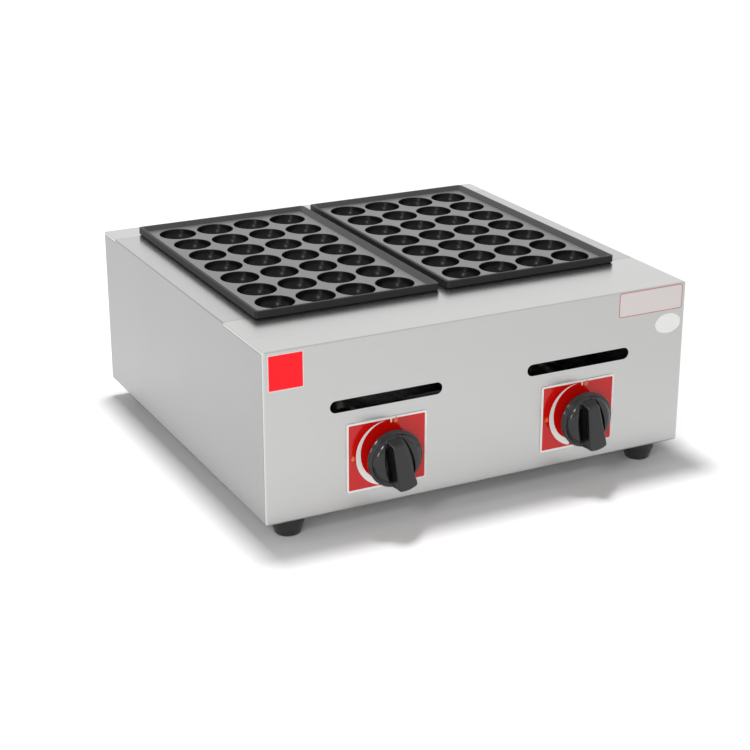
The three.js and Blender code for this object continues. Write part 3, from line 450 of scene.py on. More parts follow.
def make_front_panel():
    panel = folded_end("front_skin", front_strip)
    holes = []
    for side in (-1, 1):
        slot = slot_outline(side * flame_slot_x, flame_slot_z, *flame_slot)
        ring = round_points(side * knob_axis_x, knob_axis_z, spindle_hole)
        holes += [punch("slot", slot, front_y), punch("spindle_hole", ring, front_y),
                  foot_hole(side * foot_x, front_y + foot_inset)]
    shade(carve(panel, holes))
    finish_piece(panel, "stove", brushed_steel("front_steel", grain=0), "stainless", "front_panel")
    # The face: the same steel, darker, with painted shade.
    paint_shade_on_side(panel, brushed_steel("face_steel_painted_shade", grain=0, colour=face_painted_shade_colour), (0, -1, 0))


make_front_panel()


# The rear panel: the same folded form turned round, with three punched air slots a side and the hole that
# the gas inlet comes out of.
vent = (0.058, 0.005)
vent_rows = 3
vent_pitch = 0.016
vent_rise = 0.112
inlet_hole = 0.0075
tail_low, tail_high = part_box("hose_tail")
inlet_x = (tail_low.x + tail_high.x) / 2
inlet_z = (tail_low.z + tail_high.z) / 2
rear_seam_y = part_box("centre_rail")[1].y + seam


def make_rear_panel():
    panel = folded_end("rear_skin", rear_y - rear_seam_y)
    panel.data.transform(Matrix.Rotation(math.pi, 4, "Z"))
    panel.data.transform(Matrix.Translation((0, rear_y + front_y, 0)))
    holes = []
    for side in (-1, 1):
        for row in range(vent_rows):
            z = base_z + vent_rise + (row - (vent_rows - 1) / 2) * vent_pitch
            holes.append(punch("vent", slot_outline(side * flame_slot_x, z, *vent), rear_y))
        holes.append(foot_hole(side * foot_x, rear_y - foot_inset))
    holes.append(punch("inlet_hole", round_points(inlet_x, inlet_z, inlet_hole), rear_y))
    shade(carve(panel, holes))
    finish_piece(panel, "stove", brushed_steel("rear_steel", grain=0), "stainless", "rear_panel")
    # The back: the same steel, darker, with painted shade.
    paint_shade_on_side(panel, brushed_steel("back_steel_painted_shade", grain=0, colour=face_painted_shade_colour), (0, 1, 0))


make_rear_panel()


# The side panels: one sheet each, folded into the upright side, its own strip of the deck with a lip that
# hangs down beside the plate, and a flange underneath. The seams to the front and rear stay a hair open.
side_flange = 0.02
# The deck strip and the upright side take darker copies of the same steel: painted shade.
side_painted_shade_colour = (0.36, 0.36, 0.358)
strip_painted_shade_colour = (0.53, 0.53, 0.527)


def corner_round(before, corner, after, radius):
    """Half the angle at a corner, the centre of its round, and the ways from there to its start and end."""
    back = (before - corner).normalized()
    ahead = (after - corner).normalized()
    half = back.angle(ahead) / 2
    centre = corner + (back + ahead).normalized() * (radius / math.sin(half))
    reach = radius / math.tan(half)
    return half, centre, corner + back * reach - centre, corner + ahead * reach - centre


def rounded_corners(points, radii, steps=fold_steps):
    """A line of points with each corner that has a radius rounded off."""
    points = [Vector(point) for point in points]
    line = []
    for i, (point, radius) in enumerate(zip(points, radii)):
        if not radius:
            line.append(tuple(point))
            continue
        half, centre, start, end = corner_round(points[i - 1], point, points[(i + 1) % len(points)], radius)
        turn = math.atan2(start.x * end.y - start.y * end.x, start.dot(end))
        for k in range(steps + 1):
            angle = turn * k / steps
            c, s = math.cos(angle), math.sin(angle)
            line.append((centre.x + start.x * c - start.y * s, centre.y + start.x * s + start.y * c))
    return line


def folded_section(path):
    """The section of a folded sheet: the path is its outside, and the sheet lies to its left."""
    corners = [Vector(p) for p in path]
    runs = [(b - a).normalized() for a, b in zip(corners, corners[1:])]
    normals = [Vector((-run.y, run.x)) for run in runs]
    inner = []
    for i, corner in enumerate(corners):
        before = normals[max(i - 1, 0)]
        after = normals[min(i, len(normals) - 1)]
        inner.append(corner + (before + after) * (sheet / (1 + before.dot(after))))
    outside_radii = [0] + [fold_radius] * (len(corners) - 2) + [0]
    inside_radii = [0] + [fold_radius - sheet] * (len(corners) - 2) + [0]
    return rounded_corners(corners, outside_radii) + rounded_corners(inner, inside_radii)[::-1]


def make_side_panel(side, name):
    path = [(box_half - side_flange, base_z), (box_half, base_z), (box_half, deck_z),
            (opening_half, deck_z), (opening_half, deck_z - lip_drop)]
    start = front_y + corner_return + seam
    end = rear_y - corner_return - seam
    section = [(side * x, z) for x, z in folded_section(path)]
    panel = drawn_prism(f"{name}_side_skin", section, across_y(start), end - start)
    strip_y = front_y + front_strip + seam
    rear_strip_y = rear_seam_y - seam
    front = start - overrun
    behind = end + overrun
    beyond = box_half + overrun
    above = deck_z + overrun
    under = deck_z - corner_return - seam
    lip_end = deck_z - lip_drop - overrun
    past_lip = opening_half + fold_radius
    flange_out = box_half - fold_radius
    flange_end = base_z - overrun
    flange_top = base_z + fold_radius
    blocks = [
        ((0, front, under), (beyond, strip_y, above)),
        ((0, rear_strip_y, under), (beyond, behind, above)),
        ((0, front, lip_end), (past_lip, strip_y, deck_z)),
        ((0, rear_strip_y, lip_end), (past_lip, behind, deck_z)),
        ((0, front, flange_end), (flange_out, front_y + bottom_flange + seam, flange_top)),
        ((0, rear_y - bottom_flange - seam, flange_end), (flange_out, behind, flange_top)),
    ]
    waste = []
    for low, high in blocks:
        left, right = sorted((side * low[0], side * high[0]))
        waste.append(rounded_block("waste", (left, *low[1:]), (right, *high[1:]), 0))
    shade(carve(panel, waste))
    # Darker copies of the one steel: painted shade on the strip, and more on the upright side.
    strip_steel_painted_shade = brushed_steel(f"{name}_strip_steel_painted_shade", grain=1, colour=strip_painted_shade_colour)
    finish_piece(panel, "stove", strip_steel_painted_shade, "stainless", f"{name}_side_panel")
    paint_shade_on_side(panel, brushed_steel(f"{name}_side_steel_painted_shade", grain=1, colour=side_painted_shade_colour), (side, 0, 0))


for side, name in both_sides:
    make_side_panel(side, name)


# The base plate, the centre rail and both burner bars: plain pressings inside the box. The base plate and
# the bars are galvanised, with the flowery crystals of zinc, and the rail is stainless like the deck.
zinc_colours = ((0.42, 0.44, 0.46), (0.6, 0.62, 0.64))
zinc_spread = 0.2


def zinc_coat(name, crystal=260, roughness=0.42):
    """Zinc plating: each crystal has its own tint and its own gloss."""
    material, tree, place = new_finish(name, metallic=1)
    crystals = add_node(tree, "ShaderNodeTexVoronoi", {"Scale": crystal, "Vector": place})
    shades = add_node(tree, "ShaderNodeSeparateColor", {0: crystals.outputs["Color"]}).outputs
    tint_skin(tree, shades[0], *zinc_colours)
    roughen_skin(tree, shades[1], *around(roughness, zinc_spread))
    return material


def refinish(material, *nodes):
    """Gives pieces that keep their shape a better finish."""
    for name in nodes:
        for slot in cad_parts[name].material_slots:
            slot.material = material


sheet_zinc = zinc_coat("sheet_zinc")
refinish(sheet_zinc, "base_plate", "front_burner_bar", "rear_burner_bar")
refinish(brushed_steel("rail_steel", grain=1), "centre_rail")


# The feet: turned rubber pads, each held by a screw from below and a nut above the base plate.
rubber_colour = (0.012, 0.012, 0.013)
foot_profile = [(0.0029, 0.009), (0.0064, 0.009), (0.0064, 0.0004), (0.0068, 0), (0.0102, 0),
                (0.0118, 0.0006), (0.0129, 0.002), (0.0133, 0.004), (0.0146, 0.0076), (0.0163, 0.0122),
                (0.0169, 0.015), (0.017, 0.0162), (0.017, 0.0208), (0.0167, 0.0214), (0.016, 0.0217),
                (0.0029, 0.0217), (0.0029, 0.009)]


def moulded(name, colour, roughness, grain, bump, sheen=0.0, mottle=0.15, gloss=1.5):
    """Rubber, plastic or a smooth coating: one colour, a fine grain and a little change of gloss."""
    material, tree, place = new_finish(name)
    skin = tree.nodes["Principled BSDF"].inputs
    skin["Sheen Weight"].default_value = sheen
    skin["IOR"].default_value = gloss
    noise = noise_at(tree, place, grain, detail=4)
    tint_skin(tree, noise, *tints_around(colour, mottle))
    roughen_skin(tree, noise, *around(roughness, gloss_spread))
    raise_skin(tree, noise, bump)
    return material


def bands(rings, steps):
    """The faces between rings of points, each ring with the same number of steps."""
    return [(row * steps + k, row * steps + (k + 1) % steps, (row + 1) * steps + (k + 1) % steps,
             (row + 1) * steps + k) for row in range(rings - 1) for k in range(steps)]


def turned_piece(name, profile, place, steps=48):
    """A profile of (radius, height) turned once round; place(x, y, height) sets it in space."""
    turns = circle_turns(steps)
    points = [place(radius * c, radius * s, height) for radius, height in profile for c, s in turns]
    return welded_piece(name, points, bands(len(profile), steps))


def make_feet():
    rubber = moulded("foot_rubber", rubber_colour, roughness=0.55, grain=1400, bump=0.25, sheen=0.1)
    screw_zinc = zinc_coat("screw_zinc", crystal=900, roughness=0.32)
    for end, y in (("front", front_y + foot_inset), ("rear", rear_y - foot_inset)):
        for side, name in both_sides:
            x = side * foot_x
            foot = turned_piece(f"{end}_{name}_pad", foot_profile, lambda u, v, h: (x + u, y + v, h))
            finish_piece(shade(foot, angle=40), "stove", rubber, "foot_rubber", f"{end}_{name}_foot")
            refinish(screw_zinc, f"{end}_{name}_foot_screw", f"{end}_{name}_foot_nut")


make_feet()


# The gas rail: one steel pipe, zinc plated, that runs along the front under both valves and turns back to
# the inlet. It ends in a brass hose tail that a nut locks in the rear panel.
pipe_bend = 0.028
pipe_radius = 0.008
brass_colours = ((0.62, 0.42, 0.15), (0.78, 0.56, 0.24))
brass_roughness = (0.22, 0.4)
brass_grain = 220
hexagon_radius = 0.01
hexagon_length = 0.008
tail_inset = 0.002
tail_bore = 0.0028
tail_shoulder = 0.0075
tail_edge = 0.0004
thread_radius = 0.007
thread_root = 0.0064
thread_pitch = 0.0012
barb_pitch = 0.005
barb_neck = 0.0042
barb_radius = 0.0052
nut_radius = 0.011
nut_bore = 0.0073


def bent_line(corners, bend, bend_steps=10):
    """A line of points through corners in space, each inner corner bent to an arc."""
    corners = [Vector(corner) for corner in corners]
    line = [corners[0]]
    for before, corner, after in zip(corners, corners[1:], corners[2:]):
        half, centre, start, end = corner_round(before, corner, after, bend)
        axis = start.cross(end).normalized()
        for k in range(bend_steps + 1):
            line.append(centre + Matrix.Rotation((math.pi - 2 * half) * k / bend_steps, 3, axis) @ start)
    return line + [corners[-1]]


def pipe_along(name, line, radius, wall=0.0, steps=32):
    """A round pipe along a line of points. Without a wall it is solid."""
    last = len(line) - 1
    frames = []
    side = (line[1] - line[0]).orthogonal().normalized()
    for i in range(last + 1):
        along = (line[min(i + 1, last)] - line[max(i - 1, 0)]).normalized()
        side = (side - along * side.dot(along)).normalized()
        frames.append((line[i], side, along.cross(side)))
    rings = [(at, radius) for at in frames]
    if wall:
        rings += [(at, radius - wall) for at in reversed(frames)]
        rings.append(rings[0])
    turns = circle_turns(steps)
    points = [at + (across * c + up * s) * r for (at, across, up), r in rings for c, s in turns]
    faces = bands(len(rings), steps)
    if not wall:
        faces += [tuple(range(steps)), tuple(range(last * steps, (last + 1) * steps))]
    return welded_piece(name, points, faces)


def turned_brass(name):
    """Brass as it comes off the lathe, a little cloudy from handling."""
    material, tree, place = new_finish(name, metallic=1)
    noise = noise_at(tree, place, brass_grain, detail=5)
    tint_skin(tree, noise, *brass_colours)
    roughen_skin(tree, noise, *brass_roughness)
    return material


def across_inlet(u, v, h):
    return (inlet_x + u, h, inlet_z + v)


def eased_band(radius, start, end, drop, run):
    """A straight stretch of a profile with both its rims eased: a drop inward over a run along it."""
    return [(radius - drop, start), (radius, start + run), (radius, end - run), (radius - drop, end)]


def hexagon(name, radius, start, end, edge=0.0006):
    """A hexagon bar about the inlet's axis, its corners turned down at both ends."""
    bar = drawn_prism(name, round_points(0, 0, radius, steps=6),
                      lambda u, v, w: across_inlet(u, v, start + w), end - start)
    profile = [(0, start), *eased_band(radius, start, end, 2 * edge, edge), (0, end)]
    return carve(bar, [turned_piece("turned_corners", profile, across_inlet)], "INTERSECT")


def tail_profile(hex_end):
    """The hose tail from its seat in the hexagon: a thread, a neck and two barbs, round one bore."""
    foot, tip = tail_low.y + tail_inset, tail_high.y
    thread_end = tip - 3 * barb_pitch
    profile = [(tail_bore, foot), (tail_shoulder, foot), (tail_shoulder, hex_end), (thread_radius, hex_end)]
    for k in range(int((thread_end - hex_end) / thread_pitch)):
        start = hex_end + k * thread_pitch
        profile += [(thread_root, start + thread_pitch / 4), (thread_radius, start + thread_pitch / 2),
                    (thread_radius, start + thread_pitch * 3 / 4)]
    profile += [(thread_root, thread_end), (barb_neck, thread_end + thread_pitch / 2)]
    for start in (tip - 2 * barb_pitch, tip - barb_pitch):
        profile += [(barb_neck, start), (barb_radius - tail_edge / 2, start + tail_edge / 4),
                    (barb_radius, start + tail_edge), (barb_neck, start + barb_pitch)]
    return profile + [(tail_bore + tail_edge * 3 / 4, tip), (tail_bore, tip - tail_edge), (tail_bore, foot)]


def make_gas_rail():
    low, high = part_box("gas_rail")
    z = (low.z + high.z) / 2
    y = low.y + (high.z - low.z) / 2
    route = bent_line([(low.x, y, z), (inlet_x, y, z), (inlet_x, high.y, z)], pipe_bend)
    pipe = pipe_along("gas_pipe", route, pipe_radius)
    pipe_zinc = zinc_coat("pipe_zinc", crystal=700, roughness=0.34)
    finish_piece(shade(pipe, angle=40), "stove", pipe_zinc, "zinc_plate", "gas_rail")

    brass = turned_brass("fitting_brass")
    hex_end = tail_low.y + hexagon_length
    tail = turned_piece("inlet_tail", tail_profile(hex_end), across_inlet)
    carve(tail, [hexagon("tail_hexagon", hexagon_radius, tail_low.y, hex_end)], "UNION")
    finish_piece(shade(tail, angle=30), "stove", brass, "brass", "hose_tail")

    nut_low, nut_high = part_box("hose_tail_nut")
    nut = hexagon("inlet_nut", nut_radius, nut_low.y, nut_high.y)
    start, end = nut_low.y - overrun, nut_high.y + overrun
    bore = [(0, start), (nut_bore, start), (nut_bore, end), (0, end)]
    carve(nut, [turned_piece("hole", bore, across_inlet)])
    finish_piece(shade(nut, angle=30), "stove", brass, "brass", "hose_tail_nut")
    return brass


fitting_brass = make_gas_rail()


# The gas valves: brass bodies clamped on the rail, each with a zinc bonnet over its spring, a jet behind it
# and a plastic igniter on top. They are hidden by the deck, and keep their shape.
igniter_colour = (0.016, 0.016, 0.018)


def finish_valves():
    pressed_zinc = zinc_coat("pressed_zinc", crystal=600, roughness=0.36)
    igniter_plastic = moulded("igniter_plastic", igniter_colour, roughness=0.35, grain=900, bump=0.15)
    for name in ("left", "right"):
        refinish(fitting_brass, f"{name}_valve_body", f"{name}_jet")
        refinish(pressed_zinc, f"{name}_valve_bonnet", f"{name}_valve_clamp", f"{name}_clamp_screw_1",
                 f"{name}_clamp_screw_2", f"{name}_spindle", f"{name}_spring_washer",
                 f"{name}_electrode_holder")
        refinish(igniter_plastic, f"{name}_igniter")


finish_valves()


# The return springs: a few turns of wire inside each bonnet, which push the knob out again.
spring_wire = 0.00055
spring_turns = 3
spring_steps = 32


def make_spring(name, steel):
    low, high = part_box(f"{name}_return_spring")
    x, z = (low.x + high.x) / 2, (low.z + high.z) / 2
    radius = (high.x - low.x) / 2 - spring_wire
    run = high.y - low.y - 2 * spring_wire
    count = spring_turns * spring_steps
    line = []
    for k in range(count + 1):
        turn = math.tau * k / spring_steps
        line.append(Vector((x + radius * math.cos(turn), low.y + spring_wire + run * k / count,
                            z + radius * math.sin(turn))))
    coil = pipe_along(f"{name}_spring_coil", line, spring_wire, steps=12)
    finish_piece(shade(coil, angle=40), "stove", steel, "zinc_plate", f"{name}_return_spring")
    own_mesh(coil)


spring_steel = zinc_coat("spring_zinc", crystal=900, roughness=0.3)
make_spring("left", spring_steel)
make_spring("right", spring_steel)


# The burners: three flame pipes welded to a header, which a mixing tube feeds from the jet. Steel, with the
# straw and blue tints of heat. An air shutter turns on the mouth of each mixing tube.
flame_pipe_radius = 0.011
flame_pipe_pitch = 0.044
flame_pipe_length = 0.236
header_radius = 0.013
mixer_radius = 0.012
mixer_mouth = 0.048
mixer_bend = 0.009
burner_wall = 0.0015
flame_ports = 21
port_margin = 0.016
port = (0.0076, 0.0024)
port_floor_share = 0.6
air_window = (0.014, 0.012)
shutter_inside = 0.0127
shutter_outside = 0.0139
shutter_edge = 0.0002
tab_half = 0.003
tab_thickness = 0.0015
tab_edge = 0.0005
heat_grain = 34
heat_roughness = (0.285, 0.494)
heat_bump = 0.15
heat_bump_depth = 0.0003
heat_tints = ((0.3, (0.30, 0.29, 0.28, 1)), (0.5, (0.42, 0.40, 0.37, 1)), (0.6, (0.40, 0.30, 0.17, 1)),
              (0.7, (0.20, 0.22, 0.32, 1)))


def heated_steel(name):
    """Bare steel that the flames have tinted, in clouds from grey to straw and blue."""
    material, tree, place = new_finish(name, metallic=1)
    noise = noise_at(tree, place, heat_grain, detail=5)
    tints = add_node(tree, "ShaderNodeValToRGB", {"Fac": noise})
    stops = tints.color_ramp.elements
    for number, (position, colour) in enumerate(heat_tints):
        stop = stops[number] if number < len(stops) else stops.new(position)
        stop.position = position
        stop.color = colour
    feed_skin(tree, "Base Color", tints.outputs["Color"])
    roughen_skin(tree, noise, *heat_roughness)
    raise_skin(tree, noise, heat_bump, heat_bump_depth)
    return material


def closed_bar(name, radius, start, end, place, edge=0.001, ease_share=0.3):
    """A closed round bar or capped pipe with its rims eased."""
    ease = ease_share * edge
    profile = [(0, start), (radius - edge, start), (radius - ease, start + ease),
               (radius, start + edge), (radius, end - edge), (radius - ease, end - ease),
               (radius - edge, end), (0, end)]
    return turned_piece(name, profile, place)


def join_pieces(pieces):
    """Puts the meshes of several pieces in the first one."""
    shape = bmesh.new()
    for piece in pieces:
        shape.from_mesh(piece.data)
    shape.to_mesh(pieces[0].data)
    shape.free()
    for piece in pieces[1:]:
        bpy.data.objects.remove(piece)
    return pieces[0]


def air_window_tool(axis_x, name):
    """Cuts the air window through both walls of a mixing tube, or of the shutter round it."""
    low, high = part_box(f"{name}_air_shutter")
    y, z = (low.y + high.y) / 2, knob_axis_z
    across, along, up = 2 * mixer_radius, air_window[0] / 2, air_window[1] / 2
    return rounded_block("window", (axis_x - across, y - along, z - up),
                         (axis_x + across, y + along, z + up), 0)


def make_burner(axis_x, name, steel):
    low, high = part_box(f"{name}_burner")
    # The plain header that this one stands for has eight sides, one of them flat on top.
    burner_z = high.z - header_radius * math.cos(math.pi / 8)
    header_y = high.y - flame_pipe_length

    header = closed_bar(f"{name}_gas_header", header_radius, low.x, high.x,
                        lambda u, v, h: (h, header_y + u, burner_z + v))
    first = header_y + header_radius + port_margin
    last = high.y - port_margin
    port_low = burner_z + port_floor_share * flame_pipe_radius
    port_high = burner_z + 2 * flame_pipe_radius
    for i in (-1, 0, 1):
        x = axis_x + i * flame_pipe_pitch
        pipe = closed_bar("flame_pipe", flame_pipe_radius, header_y, high.y,
                          lambda u, v, h: (x + u, h, burner_z + v))
        ports = []
        for k in range(flame_ports):
            y = first + (last - first) * k / (flame_ports - 1)
            ports.append(rounded_block("port", (x - port[0] / 2, y - port[1] / 2, port_low),
                                       (x + port[0] / 2, y + port[1] / 2, port_high), 0))
        carve(pipe, [join_pieces(ports)])
        carve(header, [pipe], "UNION")
    route = bent_line([(axis_x, low.y, knob_axis_z), (axis_x, low.y + mixer_mouth, knob_axis_z),
                       (axis_x, header_y - mixer_bend, burner_z), (axis_x, header_y, burner_z)], mixer_bend)
    mixer = pipe_along("mixer", route, mixer_radius, burner_wall)
    carve(mixer, [air_window_tool(axis_x, name)])
    burner = join_pieces([header, mixer])
    finish_piece(shade(burner, angle=32), "stove", steel, "burner_steel", f"{name}_burner")


def make_air_shutter(axis_x, name):
    low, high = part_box(f"{name}_air_shutter")
    outside = eased_band(shutter_outside, low.y, high.y, shutter_edge, shutter_edge)
    profile = [(shutter_inside, low.y), *outside, (shutter_inside, high.y), (shutter_inside, low.y)]
    sleeve = turned_piece(f"{name}_air_sleeve", profile, lambda u, v, h: (axis_x + u, h, knob_axis_z + v))
    tab_foot = knob_axis_z + shutter_inside + 2 * shutter_edge
    tab = rounded_block("tab", (axis_x - tab_half, low.y, tab_foot),
                        (axis_x + tab_half, low.y + tab_thickness, high.z), tab_edge, steps=3)
    carve(sleeve, [tab], "UNION")
    carve(sleeve, [air_window_tool(axis_x, name)])
    finish_piece(shade(sleeve, angle=32), f"{name}_air_shutter", sheet_zinc, "zinc_plate",
                 f"{name}_air_shutter")


flame_steel = heated_steel("flame_steel")
for side, name in both_sides:
    make_burner(side * knob_axis_x, name, flame_steel)
    make_air_shutter(side * knob_axis_x, name)


# The electrodes: white glazed ceramic with a bent steel pin, each hung beside a flame pipe. A lead in a red
# sleeve joins it to the igniter.
ceramic_colour = (0.78, 0.75, 0.69)
sleeve_colour = (0.34, 0.03, 0.02)
electrode_side_inset = 0.0048
electrode_back_inset = 0.006
electrode_radius = 0.0034
electrode_edge = 0.0006
electrode_seat = 0.022
electrode_head = 0.007
collar_radius = 0.0052
collar_height = 0.003
pin_radius = 0.0009
pin_reach = 0.006


def make_electrode(name, ceramic, sleeve, steel):
    low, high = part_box(f"{name}_electrode")
    x = low.x + electrode_side_inset
    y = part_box(f"{name}_electrode_holder")[1].y - electrode_back_inset
    seat = low.z + electrode_seat
    collar_top = seat + collar_height
    top = seat + electrode_head
    stem = eased_band(electrode_radius, low.z, top, electrode_edge, electrode_edge)
    collar = eased_band(collar_radius, seat, collar_top, electrode_edge / 2, electrode_edge / 2)
    profile = [(0, low.z), *stem[:2], (electrode_radius, seat), *collar, (electrode_radius, collar_top),
               *stem[2:], (0, top)]
    body = turned_piece(f"{name}_ceramic", profile, lambda u, v, h: (x + u, y + v, h), steps=32)
    finish_piece(shade(body, angle=40), "stove", ceramic, "ceramic", f"{name}_electrode")
    pin_z = high.z - pin_radius
    route = bent_line([(x, y, seat), (x, y, pin_z), (x, y + pin_reach, pin_z)], 2 * pin_radius)
    pin = pipe_along(f"{name}_electrode_pin", route, pin_radius, steps=16)
    finish_piece(shade(pin, angle=40), "stove", steel, "burner_steel")
    refinish(sleeve, f"{name}_ignition_lead")


def make_electrodes():
    glaze = moulded("ceramic_glaze", ceramic_colour, roughness=0.18, grain=120, bump=0.03)
    sleeve = moulded("lead_sleeve", sleeve_colour, roughness=0.5, grain=700, bump=0.2)
    for name in ("left", "right"):
        make_electrode(name, glaze, sleeve, flame_steel)


make_electrodes()


# The plates: iron castings with a raised rim and 28 bowl-shaped wells on a square grid, coated black. Each
# well shows underneath as a cup. The plates lie loose in the opening of the deck and lift out.
well_columns, well_rows = 4, 7
well_pitch = 0.044
well_radius = 0.0198
well_depth = 0.019
well_lip = 0.0008
lip_rows = 3
well_steps = 40
bowl_rows = 9
cup_radius = 0.0218
cup_rows = 6
rim_tuck = 0.0072
face_rise = 0.0042
plate_seat = 0.0003
underside_rise = 0.00005
# The face is the same coating painted lighter: a painted sheen.
face_black_painted_sheen = (0.06, 0.06, 0.061)
# The wells, the rim and the slope are the same coating painted darker: painted shade.
well_black_painted_shade = (0.003, 0.003, 0.003)
rim_black_painted_shade = (0.015, 0.015, 0.0155)
slope_black_painted_shade = (0.02, 0.02, 0.021)
face_finish, well_finish, rim_finish, slope_finish = range(4)
# Each level of the rim: its inset, its corner radius, the height it is counted from, how far it lies above
# that, and the finish of the band above it.
rim_levels = [
    (0.0081, 0.003, "face", -0.0003, slope_finish),
    (0.0037, 0.003, "top", -0.0004, slope_finish),
    (0.0033, 0.003, "top", -0.0001, rim_finish),
    (0.0028, 0.003, "top", 0, rim_finish),
    (0.0009, 0.0035, "top", 0, rim_finish),
    (0.0003, 0.0039, "top", -0.0002, rim_finish),
    (0, 0.004, "top", -0.0006, rim_finish),
    (0, 0.004, "bottom", 0.0014, rim_finish),
    (0.0014, 0.0032, "bottom", 0, rim_finish),
    (0.0081, 0.003, "bottom", 0, rim_finish),
]


def plate_cell(shape, centre, reach, rings, pole_z, finish, up):
    """One square of a plate with its bowl: rings of (radius, z) from the mouth inward, and the pole."""
    turns = circle_turns(well_steps)
    rows = [[]]
    for c, s in turns:
        scale = 1 / max(abs(c), abs(s))
        x = centre.x + c * scale * (reach[1] if c > 0 else reach[0])
        y = centre.y + s * scale * (reach[3] if s > 0 else reach[2])
        rows[0].append(shape.verts.new((x, y, rings[0][1])))
    for radius, z in rings:
        rows.append([shape.verts.new((centre.x + radius * c, centre.y + radius * s, z)) for c, s in turns])
    pole = shape.verts.new((centre.x, centre.y, pole_z))
    for number, outer in enumerate(rows):
        for k in range(well_steps):
            after = (k + 1) % well_steps
            if number + 1 < len(rows):
                corners = [outer[k], outer[after], rows[number + 1][after], rows[number + 1][k]]
            else:
                corners = [outer[k], outer[after], pole]
            shape.faces.new(corners if up else corners[::-1]).material_index = finish(number)


def box_outline(left, right, low, high, radius, steps=6):
    return rounded_corners([(left, low), (right, low), (right, high), (left, high)], [radius] * 4, steps)


def add_rim(shape, low, high, heights):
    """The rim round the cells, with its sloping inner side and the flat under it."""
    rows = []
    for inset, radius, level, rise, finish in rim_levels:
        outline = box_outline(low.x + inset, high.x - inset, low.y + inset, high.y - inset, radius, steps=8)
        rows.append([shape.verts.new((x, y, heights[level] + rise)) for x, y in outline])
    for number, row in enumerate(rows):
        ahead = rows[(number + 1) % len(rows)]
        for k in range(len(row)):
            after = (k + 1) % len(row)
            band = shape.faces.new((ahead[k], ahead[after], row[after], row[k]))
            band.material_index = rim_levels[number][-1]


def make_plate(name, finishes):
    low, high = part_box(f"{name}_plate")
    centre = (low + high) / 2
    bottom = deck_z + plate_seat
    face = deck_z + face_rise
    shape = bmesh.new()

    lip = [(well_radius + well_lip * (1 - math.sin(a)), face - well_lip * (1 - math.cos(a)))
           for a in (math.pi / 2 * k / lip_rows for k in range(lip_rows))]
    start = math.acos(well_lip / well_depth)
    bowl = [(well_radius * math.sin(t), face - well_depth * math.cos(t))
            for t in (start * (1 - k / bowl_rows) for k in range(bowl_rows))]
    underside = bottom + underside_rise
    cup = [(cup_radius * math.sin(t), underside - (underside - low.z) * math.cos(t))
           for t in (math.pi / 2 * (1 - k / cup_rows) for k in range(cup_rows))]
    half_x = (high.x - low.x) / 2 - rim_tuck - (well_columns - 1) / 2 * well_pitch
    half_y = (high.y - low.y) / 2 - rim_tuck - (well_rows - 1) / 2 * well_pitch
    half = well_pitch / 2
    for column in range(well_columns):
        for row in range(well_rows):
            at = Vector((centre.x + (column - (well_columns - 1) / 2) * well_pitch,
                         centre.y + (row - (well_rows - 1) / 2) * well_pitch))
            reach = [half_x if column == 0 else half, half_x if column == well_columns - 1 else half,
                     half_y if row == 0 else half, half_y if row == well_rows - 1 else half]
            plate_cell(shape, at, reach, lip + bowl, face - well_depth,
                       lambda number: face_finish if number < 2 else well_finish, True)
            plate_cell(shape, at, reach, cup, low.z, lambda number: rim_finish, False)
    bmesh.ops.remove_doubles(shape, verts=shape.verts[:], dist=weld_distance)
    outer_edges = [edge for edge in shape.edges if edge.is_boundary]
    bmesh.ops.bridge_loops(shape, edges=outer_edges)
    bmesh.ops.recalc_face_normals(shape, faces=shape.faces[:])
    add_rim(shape, low, high, {"face": face, "top": high.z, "bottom": bottom})

    plate = shape_piece(f"{name}_casting", shape)
    for finish in finishes:
        plate.data.materials.append(finish)
    shade(plate, angle=38)
    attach(plate, f"{name}_plate")
    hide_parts(f"{name}_plate")


def make_plates():
    # Black coating baked on cast iron: a fine orange peel over the grain of the casting.
    # Four copies of the one coating: the face with a painted sheen, the rest with painted shade.
    finishes = (
        moulded("coated_face_painted_sheen", face_black_painted_sheen, roughness=0.34, grain=500, bump=0.1, gloss=2.05),
        moulded("coated_well_painted_shade", well_black_painted_shade, roughness=0.26, grain=300, bump=0.06, gloss=1.26),
        moulded("coated_rim_painted_shade", rim_black_painted_shade, roughness=0.5, grain=700, bump=0.25, gloss=1.36),
        moulded("coated_slope_painted_shade", slope_black_painted_shade, roughness=0.34, grain=500, bump=0.12),
    )
    make_plate("left", finishes)
    make_plate("right", finishes)


make_plates()


# The dial plates: enamelled sheet behind the knobs, white with a red field. A white crescent widens round
# the knob to show the flame, and small flame marks stand at low and high.
enamel_red = (0.57, 0.004, 0.003)
enamel_white = (0.8, 0.79, 0.77)
mark_orange = (0.75, 0.16, 0.03)
coat_weight = 0.1
coat_roughness = 0.05
dial_border = 0.002
dial_corner = 0.0025
print_layer = 0.00006
crescent_radius = 0.0334
crescent_widths = ((94, 0.0002), (180, 0.0052), (254, 0.0064))
low_mark = (-0.0366, 0.0527, 0.0058)
high_mark = (0.0091, 0.0850, 0.0066)
tick_left, tick_right, tick_low, tick_high = 0.0035, 0.0051, 0.0828, 0.0866
tick_corner = 0.0003
flame_half_share = 0.36
flame_bulge = 0.62
flame_taper = 0.25
flame_lean = 0.12
flame_tip = 0.00005


def enamel(name, colour):
    """Glossy enamel with a faint ripple."""
    material = moulded(name, colour, roughness=0.12, grain=60, bump=0.02, mottle=0.04, gloss=1.4)
    skin = material.node_tree.nodes["Principled BSDF"].inputs
    skin["Coat Weight"].default_value = coat_weight
    skin["Coat Roughness"].default_value = coat_roughness
    return material


